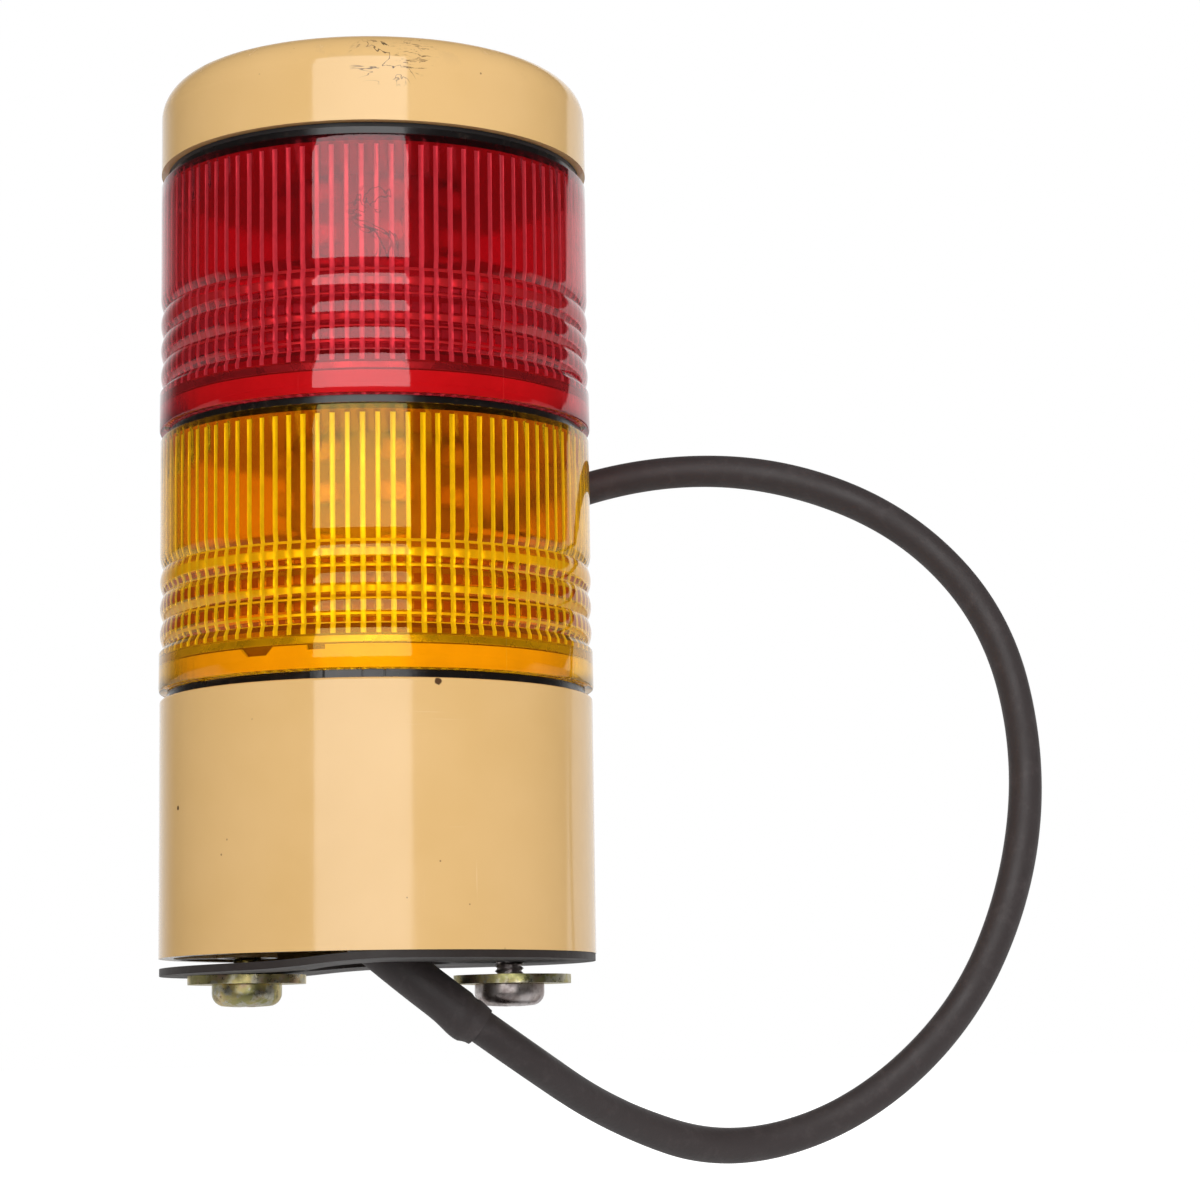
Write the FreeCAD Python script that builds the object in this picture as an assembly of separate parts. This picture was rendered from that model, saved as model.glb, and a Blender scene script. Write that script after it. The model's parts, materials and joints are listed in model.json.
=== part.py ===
"""Two-tier stack light for direct panel mounting, 60 mm tower, with a short lead.

Frame, in millimetres: +Z runs up the tower from the mounting face to the head cap. The origin
is the centre of the mounting face, which is the base housing's lower rim. The two mounting
screws lie on the X axis.

The tower is a base housing, an amber module, a red module and a head cap. Each of the upper
three sits on a black locking ring and turns anticlockwise, seen from above, to unlock.
"""
import FreeCAD, Part
import math
import os

Vector = FreeCAD.Vector
UP = Vector(0, 0, 1)

# ---------------------------------------------------------------- tower
tower_radius = 30.0
shell_wall = 2.0
edge_round = 0.4
fit_clearance = 0.05
cut_margin = 1.0

# ---------------------------------------------------------------- base housing
base_height = 35.3
base_recess = 2.0
base_floor = 2.5
base_rib = 1.6
cable_hole_radius = 10.0
screw_spacing = 36.0
screw_boss_radius = 4.2
screw_boss_top = 12.5

# ---------------------------------------------------------------- locking rings
ring_inset = 1.0
flange_height = 1.1
spigot_height = 0.8
neck_height = 3.0
neck_wall = 2.2
web_thickness = 1.4
web_hole_radius = 12.2
ring_slit = 0.35
ring_slit_depth = 0.7
ring_slit_angles = (256.2, 266.4, 272.0)
ring_relief_angles = (216.0, 252.5)
ring_relief_depth = 0.8

# ---------------------------------------------------------------- bayonet
running_gap = 0.1
bayonet_clearance = 0.2
lug_count = 3
lug_first_angle = 30.0
lug_width_angle = 10.0
lug_reach = 1.2
lug_height = 0.9
lug_level = 1.0
unlock_angle = 22.0
stop_margin_angle = 0.5

# ---------------------------------------------------------------- lens
lens_height = 35.25
lens_edge = 0.3
band_height = 5.3
band_proud = 0.15
groove_first = 6.1
groove_pitch = 3.67
groove_count = 4
groove_depth = 0.55
flute_count = 90
flute_width = 0.72
flute_root_inset = 0.1

# ---------------------------------------------------------------- LED carrier
skirt_wall = 1.6
shelf_clearance = 0.3
shelf_thickness = 1.2
shelf_inset = 1.0
notch_width = 5.0
notch_foot = 3.0
notch_depth = 1.0
gap_width = 2.4
gap_depth = 0.6
gap_turn = 17.3
amber_notch_angle = 236.7
red_notch_angle = 356.7

# ---------------------------------------------------------------- LED holder
holder_sides = 8
holder_apothem = 12.0
holder_wall = 1.6
holder_first_angle = -77.6
led_width = 4.6
led_height = 2.8
led_thickness = 1.4
led_top_inset = 1.0
led_row_pitch = 5.8
led_row_count = 2

# ---------------------------------------------------------------- contacts
contact_radii = (3.0, 6.0, 9.0)
contact_pin_angles = (90.0, 210.0, 330.0)
contact_pin_radius = 0.9
track_width = 1.6
track_thickness = 0.4
contact_gap = 0.05

# ---------------------------------------------------------------- head cap
cap_seal_height = 0.55
cap_height = 12.85
cap_round = 5.0
cap_roof = 2.0

# ---------------------------------------------------------------- terminal board
board_headroom = 2.3
board_thickness = 1.6
board_margin = 1.2
board_post_radius = 3.0
board_post_circle = 21.0
board_post_angles = (90.0, 210.0, 330.0)

# ---------------------------------------------------------------- small screws inside
small_screw_radius = 1.25
small_head_radius = 2.5
small_head_height = 1.8
board_screw_bite = 4.0

# ---------------------------------------------------------------- mounting hardware
screw_radius = 2.0
screw_length = 14.0
screw_head_radius = 4.8
screw_head_height = 3.1
screw_head_round = 1.3
recess_width = 1.1
recess_span = 5.0
recess_depth = 1.8
thread_clearance = 0.05
insert_wall = 1.05
insert_height = 10.5
insert_inset = 0.3
left_screw_slack = 0.1
right_screw_slack = 0.5
washer_radius = 8.1
washer_bore = 2.6
washer_thickness = 1.2
right_washer_shift = 0.4

# ---------------------------------------------------------------- mounting gasket
gasket_inset = 0.1
gasket_thickness = 1.0
gasket_drop = 1.25
gasket_bend_start = 2.0
gasket_bend_length = 20.0
gasket_screw_hole = 2.6
gasket_tail_slope = 0.012

# ---------------------------------------------------------------- lead
lead_radius = 2.5
sleeve_wall = 0.45
sleeve_start = 6.5
sleeve_end = 34.0
core_radius = 0.75
core_length = 20.0
core_circle = 0.95
core_spread = 2.1
core_setback = 0.4
core_lift = 1.0
clamp_wall = 1.6
clamp_start = 1.8
clamp_length = 3.6
clamp_depth = 3.4
clamp_foot_height = 2.0
clamp_foot_reach = 9.6
clamp_screw_reach = 7.0
# The lead's route: out of the clamp, through the cable hole, round a loose loop beside the
# tower and back behind it.
lead_route = (
    (-12.0, -3.0, 11.5),
    (2.5, -4.5, -1.5),
    (19.0, -4.5, -13.5),
    (32.5, 9.0, -22.5),
    (50.0, 22.0, -28.5),
    (69.5, 27.0, -23.5),
    (86.0, 28.5, -9.5),
    (95.0, 29.0, 9.0),
    (98.0, 30.0, 29.5),
    (94.0, 32.0, 50.5),
    (81.0, 34.5, 66.0),
    (61.5, 35.0, 74.0),
    (41.0, 36.0, 74.5),
    (20.5, 36.0, 68.0),
    (5.5, 36.0, 52.5),
    (3.5, 36.0, 32.0),
)
arc_share = 0.45

# ---------------------------------------------------------------- sizes that follow
seat_bore = tower_radius - shell_wall
spigot_radius = seat_bore - fit_clearance
skirt_radius = seat_bore - fit_clearance
skirt_inner = skirt_radius - skirt_wall
neck_radius = skirt_inner - bayonet_clearance
neck_inner = neck_radius - neck_wall
lug_inner = skirt_inner - lug_reach
slot_inner = lug_inner - bayonet_clearance
flange_radius = tower_radius - ring_inset
skirt_height = neck_height + shelf_clearance
shelf_top = skirt_height + shelf_thickness
floor_top = base_recess + base_floor
module_gap = flange_height + running_gap
amber_bottom = base_height + module_gap
amber_top = amber_bottom + lens_height
red_bottom = amber_top + module_gap
red_top = red_bottom + lens_height
cap_bottom = red_top + flange_height + cap_seal_height + running_gap
cap_top = cap_bottom + cap_height
board_top = base_height - spigot_height - board_headroom - small_head_height
board_underside = board_top - board_thickness
gasket_radius = tower_radius - gasket_inset
flute_height = flute_width / 2
holder_height = lens_height - spigot_height - shelf_top - fit_clearance
left_screw_seat = -gasket_drop - gasket_thickness - washer_thickness - left_screw_slack
right_screw_seat = left_screw_seat + left_screw_slack - right_screw_slack


# ---------------------------------------------------------------- helpers
def polar(radius, degrees, z=0.0):
    """A point at that radius and angle about the tower's axis."""
    angle = math.radians(degrees)
    return Vector(radius * math.cos(angle), radius * math.sin(angle), z)


def rod(radius, low, high, x=0.0, y=0.0):
    """An upright cylinder."""
    return Part.makeCylinder(radius, high - low, Vector(x, y, low), UP)


def ring(outer, inner, low, high, x=0.0, y=0.0):
    """An upright tube."""
    return rod(outer, low, high, x, y).cut(rod(inner, low, high, x, y))


def sector(outer, inner, low, high, first_angle, last_angle):
    """A block bent round the tower's axis between two angles."""
    corners = [Vector(inner, 0, low), Vector(outer, 0, low), Vector(outer, 0, high)]
    corners.append(Vector(inner, 0, high))
    face = Part.Face(Part.makePolygon(corners + corners[:1]))
    face.rotate(Vector(0, 0, 0), UP, first_angle)
    return face.revolve(Vector(0, 0, 0), UP, last_angle - first_angle)


def turned(points):
    """A solid of revolution about the tower's axis from a closed half outline in X and Z.

    An entry is a corner (x, z), or a pair of them: the middle and the end of an arc.
    """
    start = Vector(points[0][0], 0, points[0][1])
    here = start
    edges = []
    for entry in points[1:] + [points[0]]:
        if isinstance(entry[0], tuple):
            middle = Vector(entry[0][0], 0, entry[0][1])
            end = Vector(entry[1][0], 0, entry[1][1])
            edges.append(Part.Arc(here, middle, end).toShape())
        else:
            end = Vector(entry[0], 0, entry[1])
            edges.append(Part.LineSegment(here, end).toShape())
        here = end
    face = Part.Face(Part.Wire(edges))
    return face.revolve(Vector(0, 0, 0), UP, 360)


def rounded_corner(x_centre, z_centre, radius, first_angle, last_angle):
    """The middle and the end of an arc, for turned()."""
    middle = math.radians((first_angle + last_angle) / 2)
    end = math.radians(last_angle)
    return (
        (x_centre + radius * math.cos(middle), z_centre + radius * math.sin(middle)),
        (x_centre + radius * math.cos(end), z_centre + radius * math.sin(end)),
    )


def group(solids):
    """Several separate solids in one node."""
    return Part.makeCompound(solids)


def save(name, shape):
    """Write one node, after checking that its solids are sound."""
    for solid in shape.Solids:
        if not solid.isValid() or solid.Volume <= 0:
            raise ValueError(name + " holds a bad solid")
    shape.exportStep("parts/" + name + ".step")
    print(name, "solids", len(shape.Solids), "volume", round(shape.Volume, 1))


# ---------------------------------------------------------------- base housing
def base_housing():
    """The plain cylindrical shell with its recessed floor, bosses and board posts."""
    rim = tower_radius - edge_round
    outline = [
        (tower_radius, 0.0),
        (tower_radius, base_height - edge_round),
        rounded_corner(rim, base_height - edge_round, edge_round, 0, 90),
        (seat_bore, base_height),
        (seat_bore, floor_top),
        (cable_hole_radius, floor_top),
        (cable_hole_radius, base_recess),
        (seat_bore, base_recess),
        (seat_bore, 0.0),
    ]
    body = turned(outline)
    for side in (-1, 1):
        x = side * screw_spacing / 2
        boss = rod(screw_boss_radius, 0.0, screw_boss_top, x)
        reach = seat_bore + shell_wall / 2 - screw_spacing / 2
        start = min(x, x + side * reach)
        web = Part.makeBox(reach, base_rib, screw_boss_top, Vector(start, -base_rib / 2, 0.0))
        body = body.fuse([boss, web])
    for angle in board_post_angles:
        spot = polar(board_post_circle, angle)
        body = body.fuse(rod(board_post_radius, base_recess, board_underside, spot.x, spot.y))
    holes = []
    for side in (-1, 1):
        x = side * screw_spacing / 2
        holes.append(rod(insert_outer(), -cut_margin, insert_inset + insert_height, x))
    for angle in board_post_angles:
        spot = polar(board_post_circle, angle)
        low = board_underside - board_screw_bite
        holes.append(rod(small_screw_radius, low, board_underside, spot.x, spot.y))
    for spot in clamp_screw_spots():
        low = floor_top - base_floor
        holes.append(rod(small_screw_radius, low, floor_top, spot.x, spot.y))
    return body.cut(holes).removeSplitter()


def insert_outer():
    """The outer radius of a threaded insert."""
    return screw_radius + thread_clearance + insert_wall


def threaded_inserts():
    """Two brass inserts moulded into the screw bosses."""
    inserts = []
    for side in (-1, 1):
        x = side * screw_spacing / 2
        bore = screw_radius + thread_clearance
        top = insert_inset + insert_height
        inserts.append(ring(insert_outer(), bore, insert_inset, top, x))
    return group(inserts)


# ---------------------------------------------------------------- locking rings
def locking_ring(seat):
    """A black ring on the seat below: spigot and web under it, slotted neck above it."""
    flange_top = seat + flange_height
    web_top = seat - spigot_height + web_thickness
    outline = [
        (flange_radius, seat),
        (flange_radius, flange_top),
        (neck_radius, flange_top),
        (neck_radius, flange_top + neck_height),
        (neck_inner, flange_top + neck_height),
        (neck_inner, web_top),
        (web_hole_radius, web_top),
        (web_hole_radius, seat - spigot_height),
        (spigot_radius, seat - spigot_height),
        (spigot_radius, seat),
    ]
    body = turned(outline)
    half = lug_width_angle / 2 + stop_margin_angle
    slot_low = flange_top + lug_level - bayonet_clearance
    slot_high = flange_top + lug_level + lug_height + bayonet_clearance
    outside = neck_radius + cut_margin
    cuts = []
    for index in range(lug_count):
        locked = lug_first_angle + index * 360.0 / lug_count
        unlocked = locked + unlock_angle
        run = sector(outside, slot_inner, slot_low, slot_high, locked - half, unlocked + half)
        mouth_top = flange_top + neck_height + cut_margin
        mouth = sector(outside, slot_inner, slot_low, mouth_top, unlocked - half, unlocked + half)
        cuts += [run, mouth]
    return body.cut(cuts)


def slit_ring(seat):
    """The base's own ring, with the slits and the relief that show in its flange."""
    flange_top = seat + flange_height
    first, last = ring_relief_angles
    depth = flange_radius - ring_relief_depth
    cuts = [sector(tower_radius, depth, seat, flange_top, first, last)]
    for angle in ring_slit_angles:
        slit = Part.makeBox(2 * ring_slit_depth, ring_slit, flange_height)
        slit.translate(Vector(flange_radius - ring_slit_depth, -ring_slit / 2, seat))
        slit.rotate(Vector(0, 0, 0), UP, angle)
        cuts.append(slit)
    return locking_ring(seat).cut(cuts)


# ---------------------------------------------------------------- lens
def lens(bottom):
    """A clear tube: outer beads and grooves low down, fine upright flutes inside."""
    band = tower_radius + band_proud
    valley = tower_radius - groove_depth
    outline = [
        (seat_bore, 0.0),
        (band - lens_edge, 0.0),
        (band, lens_edge),
        (band, band_height),
        (valley, groove_first),
    ]
    for index in range(groove_count - 1):
        low = groove_first + index * groove_pitch
        middle = (tower_radius, low + groove_pitch / 2)
        outline.append((middle, (valley, low + groove_pitch)))
    last_groove = groove_first + (groove_count - 1) * groove_pitch
    shoulder = groove_pitch / 2
    bulge = (tower_radius - groove_depth * 0.25, last_groove + shoulder * 0.45)
    outline.append((bulge, (tower_radius, last_groove + shoulder)))
    outline += [
        (tower_radius, lens_height - lens_edge),
        (tower_radius - lens_edge, lens_height),
        (seat_bore, lens_height),
        (seat_bore, lens_height - spigot_height - fit_clearance),
        (seat_bore - 2 * flute_height, lens_height - spigot_height - fit_clearance),
        (seat_bore - 2 * flute_height, shelf_top),
        (seat_bore, shelf_top),
    ]
    body = turned(outline)
    body = body.cut(flute_core())
    body.translate(Vector(0, 0, bottom))
    return body


def flute_core():
    """The prism that leaves the flutes, right-angled ridges, when it is cut from the lens."""
    root = seat_bore - flute_root_inset
    crest = root - flute_height
    pitch = 360.0 / flute_count
    half = math.degrees(flute_width / 2 / root)
    corners = []
    for index in range(flute_count):
        centre = index * pitch
        corners.append(polar(root, centre - half))
        corners.append(polar(crest, centre))
        corners.append(polar(root, centre + half))
    face = Part.Face(Part.makePolygon(corners + corners[:1]))
    return face.extrude(Vector(0, 0, lens_height))


# ---------------------------------------------------------------- carrier and LEDs
def lugs(seat_flange_top):
    """The inward lugs that turn under the ring's ledges."""
    low = seat_flange_top + lug_level
    half = lug_width_angle / 2
    pieces = []
    for index in range(lug_count):
        centre = lug_first_angle + index * 360.0 / lug_count
        outer = skirt_inner + skirt_wall / 2
        pieces.append(sector(outer, lug_inner, low, low + lug_height, centre - half, centre + half))
    return pieces


def carrier(bottom, notch_angle):
    """The pale moulding in the foot of a module: skirt, lugs and shelf."""
    top = bottom + skirt_height
    skirt = ring(skirt_radius, skirt_inner, bottom, top)
    shelf = rod(skirt_radius - shelf_inset, top, top + shelf_thickness)
    body = skirt.fuse([shelf] + lugs(bottom - running_gap))
    outside = skirt_radius + cut_margin
    notch_inner = skirt_radius - shelf_inset
    corners = [
        Vector(0, -notch_foot / 2, top - notch_depth),
        Vector(0, notch_foot / 2, top - notch_depth),
        Vector(0, notch_width / 2, top),
        Vector(0, -notch_width / 2, top),
    ]
    face = Part.Face(Part.makePolygon(corners + corners[:1]))
    notch = face.extrude(Vector(outside - notch_inner, 0, 0))
    notch.translate(Vector(notch_inner, 0, 0))
    notch.rotate(Vector(0, 0, 0), UP, notch_angle)
    gap = Part.makeBox(outside - notch_inner, gap_width, gap_depth)
    gap.translate(Vector(notch_inner, -gap_width / 2, top - gap_depth))
    gap.rotate(Vector(0, 0, 0), UP, notch_angle + gap_turn)
    return body.cut([notch, gap]).removeSplitter()


def prism(apothem, low, high):
    """An upright prism with the LED holder's sides."""
    corner = apothem / math.cos(math.pi / holder_sides)
    step = 360.0 / holder_sides
    first = holder_first_angle - step / 2
    corners = [polar(corner, first + index * step, low) for index in range(holder_sides)]
    face = Part.Face(Part.makePolygon(corners + corners[:1]))
    return face.extrude(Vector(0, 0, high - low))


def led_holder(bottom):
    """The hollow eight-sided post that carries the LEDs, closed at its top."""
    low = bottom + shelf_top
    high = low + holder_height
    inside = prism(holder_apothem - holder_wall, low, high - holder_wall)
    return prism(holder_apothem, low, high).cut(inside)


def leds(bottom):
    """Rows of LED packages near the holder's top, one on each of its sides."""
    packages = []
    top = bottom + shelf_top + holder_height - led_top_inset
    for row in range(led_row_count):
        low = top - row * led_row_pitch - led_height
        for side in range(holder_sides):
            package = Part.makeBox(led_thickness, led_width, led_height)
            package.translate(Vector(holder_apothem, -led_width / 2, low))
            package.rotate(Vector(0, 0, 0), UP, holder_first_angle + side * 360.0 / holder_sides)
            packages.append(package)
    return group(packages)


def contact_pins(low, module_bottom):
    """Three upright pins that reach the tracks of the module above."""
    high = module_bottom + skirt_height - track_thickness - contact_gap
    pins = []
    for radius, angle in zip(contact_radii, contact_pin_angles):
        spot = polar(radius, angle)
        pins.append(rod(contact_pin_radius, low, high, spot.x, spot.y))
    return group(pins)


def contact_tracks(bottom):
    """Three brass rings on the underside of a module's shelf."""
    high = bottom + skirt_height
    half = track_width / 2
    tracks = [ring(r + half, r - half, high - track_thickness, high) for r in contact_radii]
    return group(tracks)


# ---------------------------------------------------------------- head cap
def cap_seal():
    """The black rubber ring between the top locking ring and the cap."""
    low = red_top + flange_height
    return ring(flange_radius, skirt_inner + fit_clearance, low, low + cap_seal_height)


def head_cap():
    """The rounded cap, with a thick foot that carries its lugs."""
    foot_top = cap_bottom + skirt_height
    roof = cap_top - cap_roof
    outline = [
        (skirt_inner, cap_bottom),
        (tower_radius, cap_bottom),
        (tower_radius, cap_top - cap_round),
        rounded_corner(tower_radius - cap_round, cap_top - cap_round, cap_round, 0, 90),
        (0.0, cap_top),
        (0.0, roof),
        (seat_bore - cap_round + cap_roof, roof),
        rounded_corner(seat_bore - cap_round + cap_roof, roof - cap_round + cap_roof,
                       cap_round - cap_roof, 90, 0),
        (seat_bore, foot_top),
        (skirt_inner, foot_top),
    ]
    return turned(outline).fuse(lugs(red_top + flange_height)).removeSplitter()


# ---------------------------------------------------------------- inside the base
def terminal_board():
    """The round circuit board on the base's three posts."""
    radius = seat_bore - board_margin
    board = rod(radius, board_underside, board_top)
    holes = []
    for angle in board_post_angles:
        spot = polar(board_post_circle, angle)
        bore = small_screw_radius + thread_clearance
        holes.append(rod(bore, board_underside, board_top, spot.x, spot.y))
    return board.cut(holes)


def small_screw(spot, seat, grip):
    """A small pan-head screw with its head on the seat and its shank below."""
    shank = rod(small_screw_radius, seat - grip, seat, spot.x, spot.y)
    head = rod(small_head_radius, seat, seat + small_head_height, spot.x, spot.y)
    return shank.fuse(head).removeSplitter()


def board_screws():
    """The three screws of the terminal board."""
    spots = [polar(board_post_circle, angle) for angle in board_post_angles]
    grip = board_thickness + board_screw_bite
    return group([small_screw(spot, board_top, grip) for spot in spots])


# ---------------------------------------------------------------- mounting hardware
def mounting_screw(x, seat):
    """A pan-head machine screw with a cross recess; its head hangs below the seat."""
    low = seat - screw_head_height
    head_outline = [
        (0.0, low),
        (screw_head_radius - screw_head_round, low),
        rounded_corner(screw_head_radius - screw_head_round, low + screw_head_round,
                       screw_head_round, -90, 0),
        (screw_head_radius, seat),
        (screw_radius, seat),
        (screw_radius, seat + screw_length - edge_round),
        (screw_radius - edge_round, seat + screw_length),
        (0.0, seat + screw_length),
    ]
    body = turned(head_outline)
    for turn in (0, 90):
        arm = Part.makeBox(recess_span, recess_width, recess_depth)
        arm.translate(Vector(-recess_span / 2, -recess_width / 2, low))
        arm.rotate(Vector(0, 0, 0), UP, turn)
        body = body.cut(arm)
    body.translate(Vector(x, 0, 0))
    return body


def mounting_screws():
    """The two screws, each as far in as it stands."""
    left = mounting_screw(-screw_spacing / 2, left_screw_seat)
    right = mounting_screw(screw_spacing / 2, right_screw_seat)
    return group([left, right])


def plain_washers():
    """The two large washers on the screw heads."""
    left_x = -screw_spacing / 2
    right_x = screw_spacing / 2 + right_washer_shift
    left_top = left_screw_seat + washer_thickness
    right_top = right_screw_seat + washer_thickness
    left = ring(washer_radius, washer_bore, left_screw_seat, left_top, left_x)
    right = ring(washer_radius, washer_bore, right_screw_seat, right_top, right_x)
    return group([left, right])


def mounting_gasket():
    """The rubber sheet under the base: flat on the right, drooping on the left."""
    bend_end = gasket_bend_start - gasket_bend_length
    bend_middle = gasket_bend_start - gasket_bend_length / 2
    far = gasket_radius + cut_margin
    half_drop = gasket_drop / 2
    ease = gasket_drop * 0.15

    def line_at(x, z, lower):
        return Vector(x, -far, z - lower)

    def edge_path(lower):
        first = line_at(far, 0.0, lower)
        start = line_at(gasket_bend_start, 0.0, lower)
        middle = line_at(bend_middle, -half_drop, lower)
        end = line_at(bend_end, -gasket_drop, lower)
        tail = -gasket_drop - gasket_tail_slope * (bend_end + far)
        last = line_at(-far, tail, lower)
        quarter = gasket_bend_length / 4
        over = line_at(gasket_bend_start - quarter, -ease, lower)
        under = line_at(bend_end + quarter, ease - gasket_drop, lower)
        return [
            Part.LineSegment(first, start).toShape(),
            Part.Arc(start, over, middle).toShape(),
            Part.Arc(middle, under, end).toShape(),
            Part.LineSegment(end, last).toShape(),
        ]

    upper = edge_path(0.0)
    lower = edge_path(gasket_thickness)
    right_side = Part.LineSegment(lower[0].Vertexes[0].Point, upper[0].Vertexes[0].Point)
    left_side = Part.LineSegment(upper[-1].Vertexes[-1].Point, lower[-1].Vertexes[-1].Point)
    outline = [right_side.toShape()] + upper + [left_side.toShape()] + lower[::-1]
    face = Part.Face(Part.Wire(Part.__sortEdges__(outline)))
    sheet = face.extrude(Vector(0, 2 * far, 0))
    deep = -gasket_drop - 5 * gasket_thickness
    sheet = sheet.common(rod(gasket_radius, deep, gasket_thickness))
    holes = [rod(cable_hole_radius, deep, gasket_thickness)]
    for side in (-1, 1):
        holes.append(rod(gasket_screw_hole, deep, gasket_thickness, side * screw_spacing / 2))
    return sheet.cut(holes)


# ---------------------------------------------------------------- lead
def route_edges(points):
    """Straight runs joined by tangent arcs; prints each arc's radius."""
    spots = [Vector(*point) for point in points]
    edges = []
    radii = []
    here = spots[0]
    for index in range(1, len(spots) - 1):
        back = spots[index - 1] - spots[index]
        ahead = spots[index + 1] - spots[index]
        turn = math.pi - back.getAngle(ahead)
        setback = arc_share * min(back.Length, ahead.Length)
        radius = setback / math.tan(turn / 2)
        back.normalize()
        ahead.normalize()
        arc_start = spots[index] + back * setback
        arc_end = spots[index] + ahead * setback
        inward = (back + ahead).normalize()
        depth = radius / math.cos(turn / 2) - radius
        arc_middle = spots[index] + inward * depth
        edges.append(Part.LineSegment(here, arc_start).toShape())
        edges.append(Part.Arc(arc_start, arc_middle, arc_end).toShape())
        radii.append(round(radius, 1))
        here = arc_end
    edges.append(Part.LineSegment(here, spots[-1]).toShape())
    print("lead bend radii", radii)
    return edges


def stretch(edges, start, end):
    """The part of a path between two lengths along it."""
    kept = []
    travelled = 0.0
    for edge in edges:
        low = max(start - travelled, 0.0)
        high = min(end - travelled, edge.Length)
        if high - low > 0.001:
            first = edge.getParameterByLength(low)
            last = edge.getParameterByLength(high)
            kept.append(edge.Curve.toShape(first, last))
        travelled += edge.Length
    return kept


def tube(edges, radius):
    """A round solid along a path."""
    path = Part.Wire(edges)
    first = edges[0]
    start = first.valueAt(first.FirstParameter)
    heading = first.tangentAt(first.FirstParameter)
    circle = Part.Wire(Part.makeCircle(radius, start, heading))
    return path.makePipeShell([circle], True, True)


def heading_at(point, next_point):
    """The direction from one route point to the next."""
    return (Vector(*next_point) - Vector(*point)).normalize()


def lead(edges):
    """The sheathed lead, one round tube from the clamp to its cut end."""
    body = tube(edges, lead_radius)
    length = sum(edge.Length for edge in edges)
    expected = math.pi * lead_radius ** 2 * length
    print("lead length", round(length, 1), "volume ratio", round(body.Volume / expected, 4))
    return body


def lead_sleeve(edges):
    """The heavier sleeve over the lead where it leaves the base."""
    part_path = stretch(edges, sleeve_start, sleeve_end)
    bore = lead_radius + fit_clearance
    return tube(part_path, bore + sleeve_wall).cut(tube(part_path, bore))


def core(end, direction, turn):
    """One insulated core, straight out of an end of the sheath."""
    side = direction.cross(Vector(0, 1, 0)).normalize()
    offset = FreeCAD.Rotation(direction, turn).multVec(side * core_circle)
    return Part.makeCylinder(core_radius, core_length, end + offset, direction)


def inner_cores():
    """The three cores between the sheath's inner end and the terminal board."""
    start = Vector(*lead_route[0])
    wires = []
    for index in range(3):
        foot = start + Vector(-core_setback, (index - 1) * core_spread, core_lift)
        wires.append(rod(core_radius, foot.z, board_underside, foot.x, foot.y))
    return group(wires)


def cord_clamp():
    """The strap that grips the lead inside the base, with a foot screwed to the floor."""
    start = Vector(*lead_route[0])
    direction = heading_at(lead_route[0], lead_route[1])
    bore = lead_radius + fit_clearance
    low = start + direction * clamp_start
    collar = Part.makeCylinder(bore + clamp_wall, clamp_length, low, direction)
    middle = start + direction * (clamp_start + clamp_length / 2)
    back = middle.x - clamp_wall - clamp_depth / 2
    foot = Part.makeBox(clamp_depth, 2 * clamp_foot_reach, clamp_foot_height)
    foot.translate(Vector(back, middle.y - clamp_foot_reach, floor_top))
    stem = Part.makeBox(clamp_depth, 2 * clamp_wall, middle.z - floor_top)
    stem.translate(Vector(back, middle.y - clamp_wall, floor_top))
    way = Part.makeCylinder(bore, 4 * clamp_length, start - direction * clamp_length, direction)
    holes = [way]
    for spot in clamp_screw_spots():
        top = floor_top + clamp_foot_height
        holes.append(rod(small_screw_radius + thread_clearance, floor_top, top, spot.x, spot.y))
    return collar.fuse([foot, stem]).cut(holes).removeSplitter()


def clamp_screw_spots():
    """Where the clamp's two screws stand."""
    start = Vector(*lead_route[0])
    direction = heading_at(lead_route[0], lead_route[1])
    middle = start + direction * (clamp_start + clamp_length / 2)
    x = middle.x - clamp_wall
    return [Vector(x, middle.y + side * clamp_screw_reach, 0) for side in (-1, 1)]


def clamp_screws():
    """The clamp's two screws."""
    seat = floor_top + clamp_foot_height
    grip = clamp_foot_height + base_floor
    return group([small_screw(spot, seat, grip) for spot in clamp_screw_spots()])


# ---------------------------------------------------------------- write the nodes
def main():
    os.makedirs("parts", exist_ok=True)
    save("base_housing", base_housing())
    save("threaded_inserts", threaded_inserts())
    save("terminal_board", terminal_board())
    save("board_screws", board_screws())
    save("base_contact_pins", contact_pins(board_top, amber_bottom))
    save("base_locking_ring", slit_ring(base_height))

    modules = (
        ("amber", amber_bottom, amber_top, red_bottom, amber_notch_angle),
        ("red", red_bottom, red_top, cap_bottom, red_notch_angle),
    )
    for name, bottom, top, above, notch_angle in modules:
        save(name + "_lens", lens(bottom))
        save(name + "_carrier", carrier(bottom, notch_angle))
        save(name + "_contact_tracks", contact_tracks(bottom))
        save(name + "_led_holder", led_holder(bottom))
        save(name + "_leds", leds(bottom))
        save(name + "_contact_pins", contact_pins(bottom + shelf_top + holder_height, above))
        save(name + "_locking_ring", locking_ring(top))

    save("cap_seal", cap_seal())
    save("head_cap", head_cap())

    save("mounting_gasket", mounting_gasket())
    save("mounting_screws", mounting_screws())
    save("plain_washers", plain_washers())

    edges = route_edges(lead_route)
    save("lead", lead(edges))
    save("lead_sleeve", lead_sleeve(edges))
    save("cord_clamp", cord_clamp())
    save("clamp_screws", clamp_screws())
    save("inner_cores", inner_cores())
    end = Vector(*lead_route[-1])
    direction = heading_at(lead_route[-2], lead_route[-1])
    for name, turn in (("common_core", 90), ("amber_core", 210), ("red_core", 330)):
        save(name, core(end, direction, turn))


main()
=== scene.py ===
"""The looks of a two-tier stack light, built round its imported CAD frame.

Metres, in the frame of the CAD: +Z up the tower from the mounting face, front towards -Y.
In the materials, a noise's scale is its waves per metre.
"""
import bpy
import json
import math
from mathutils import Matrix, Vector


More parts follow.
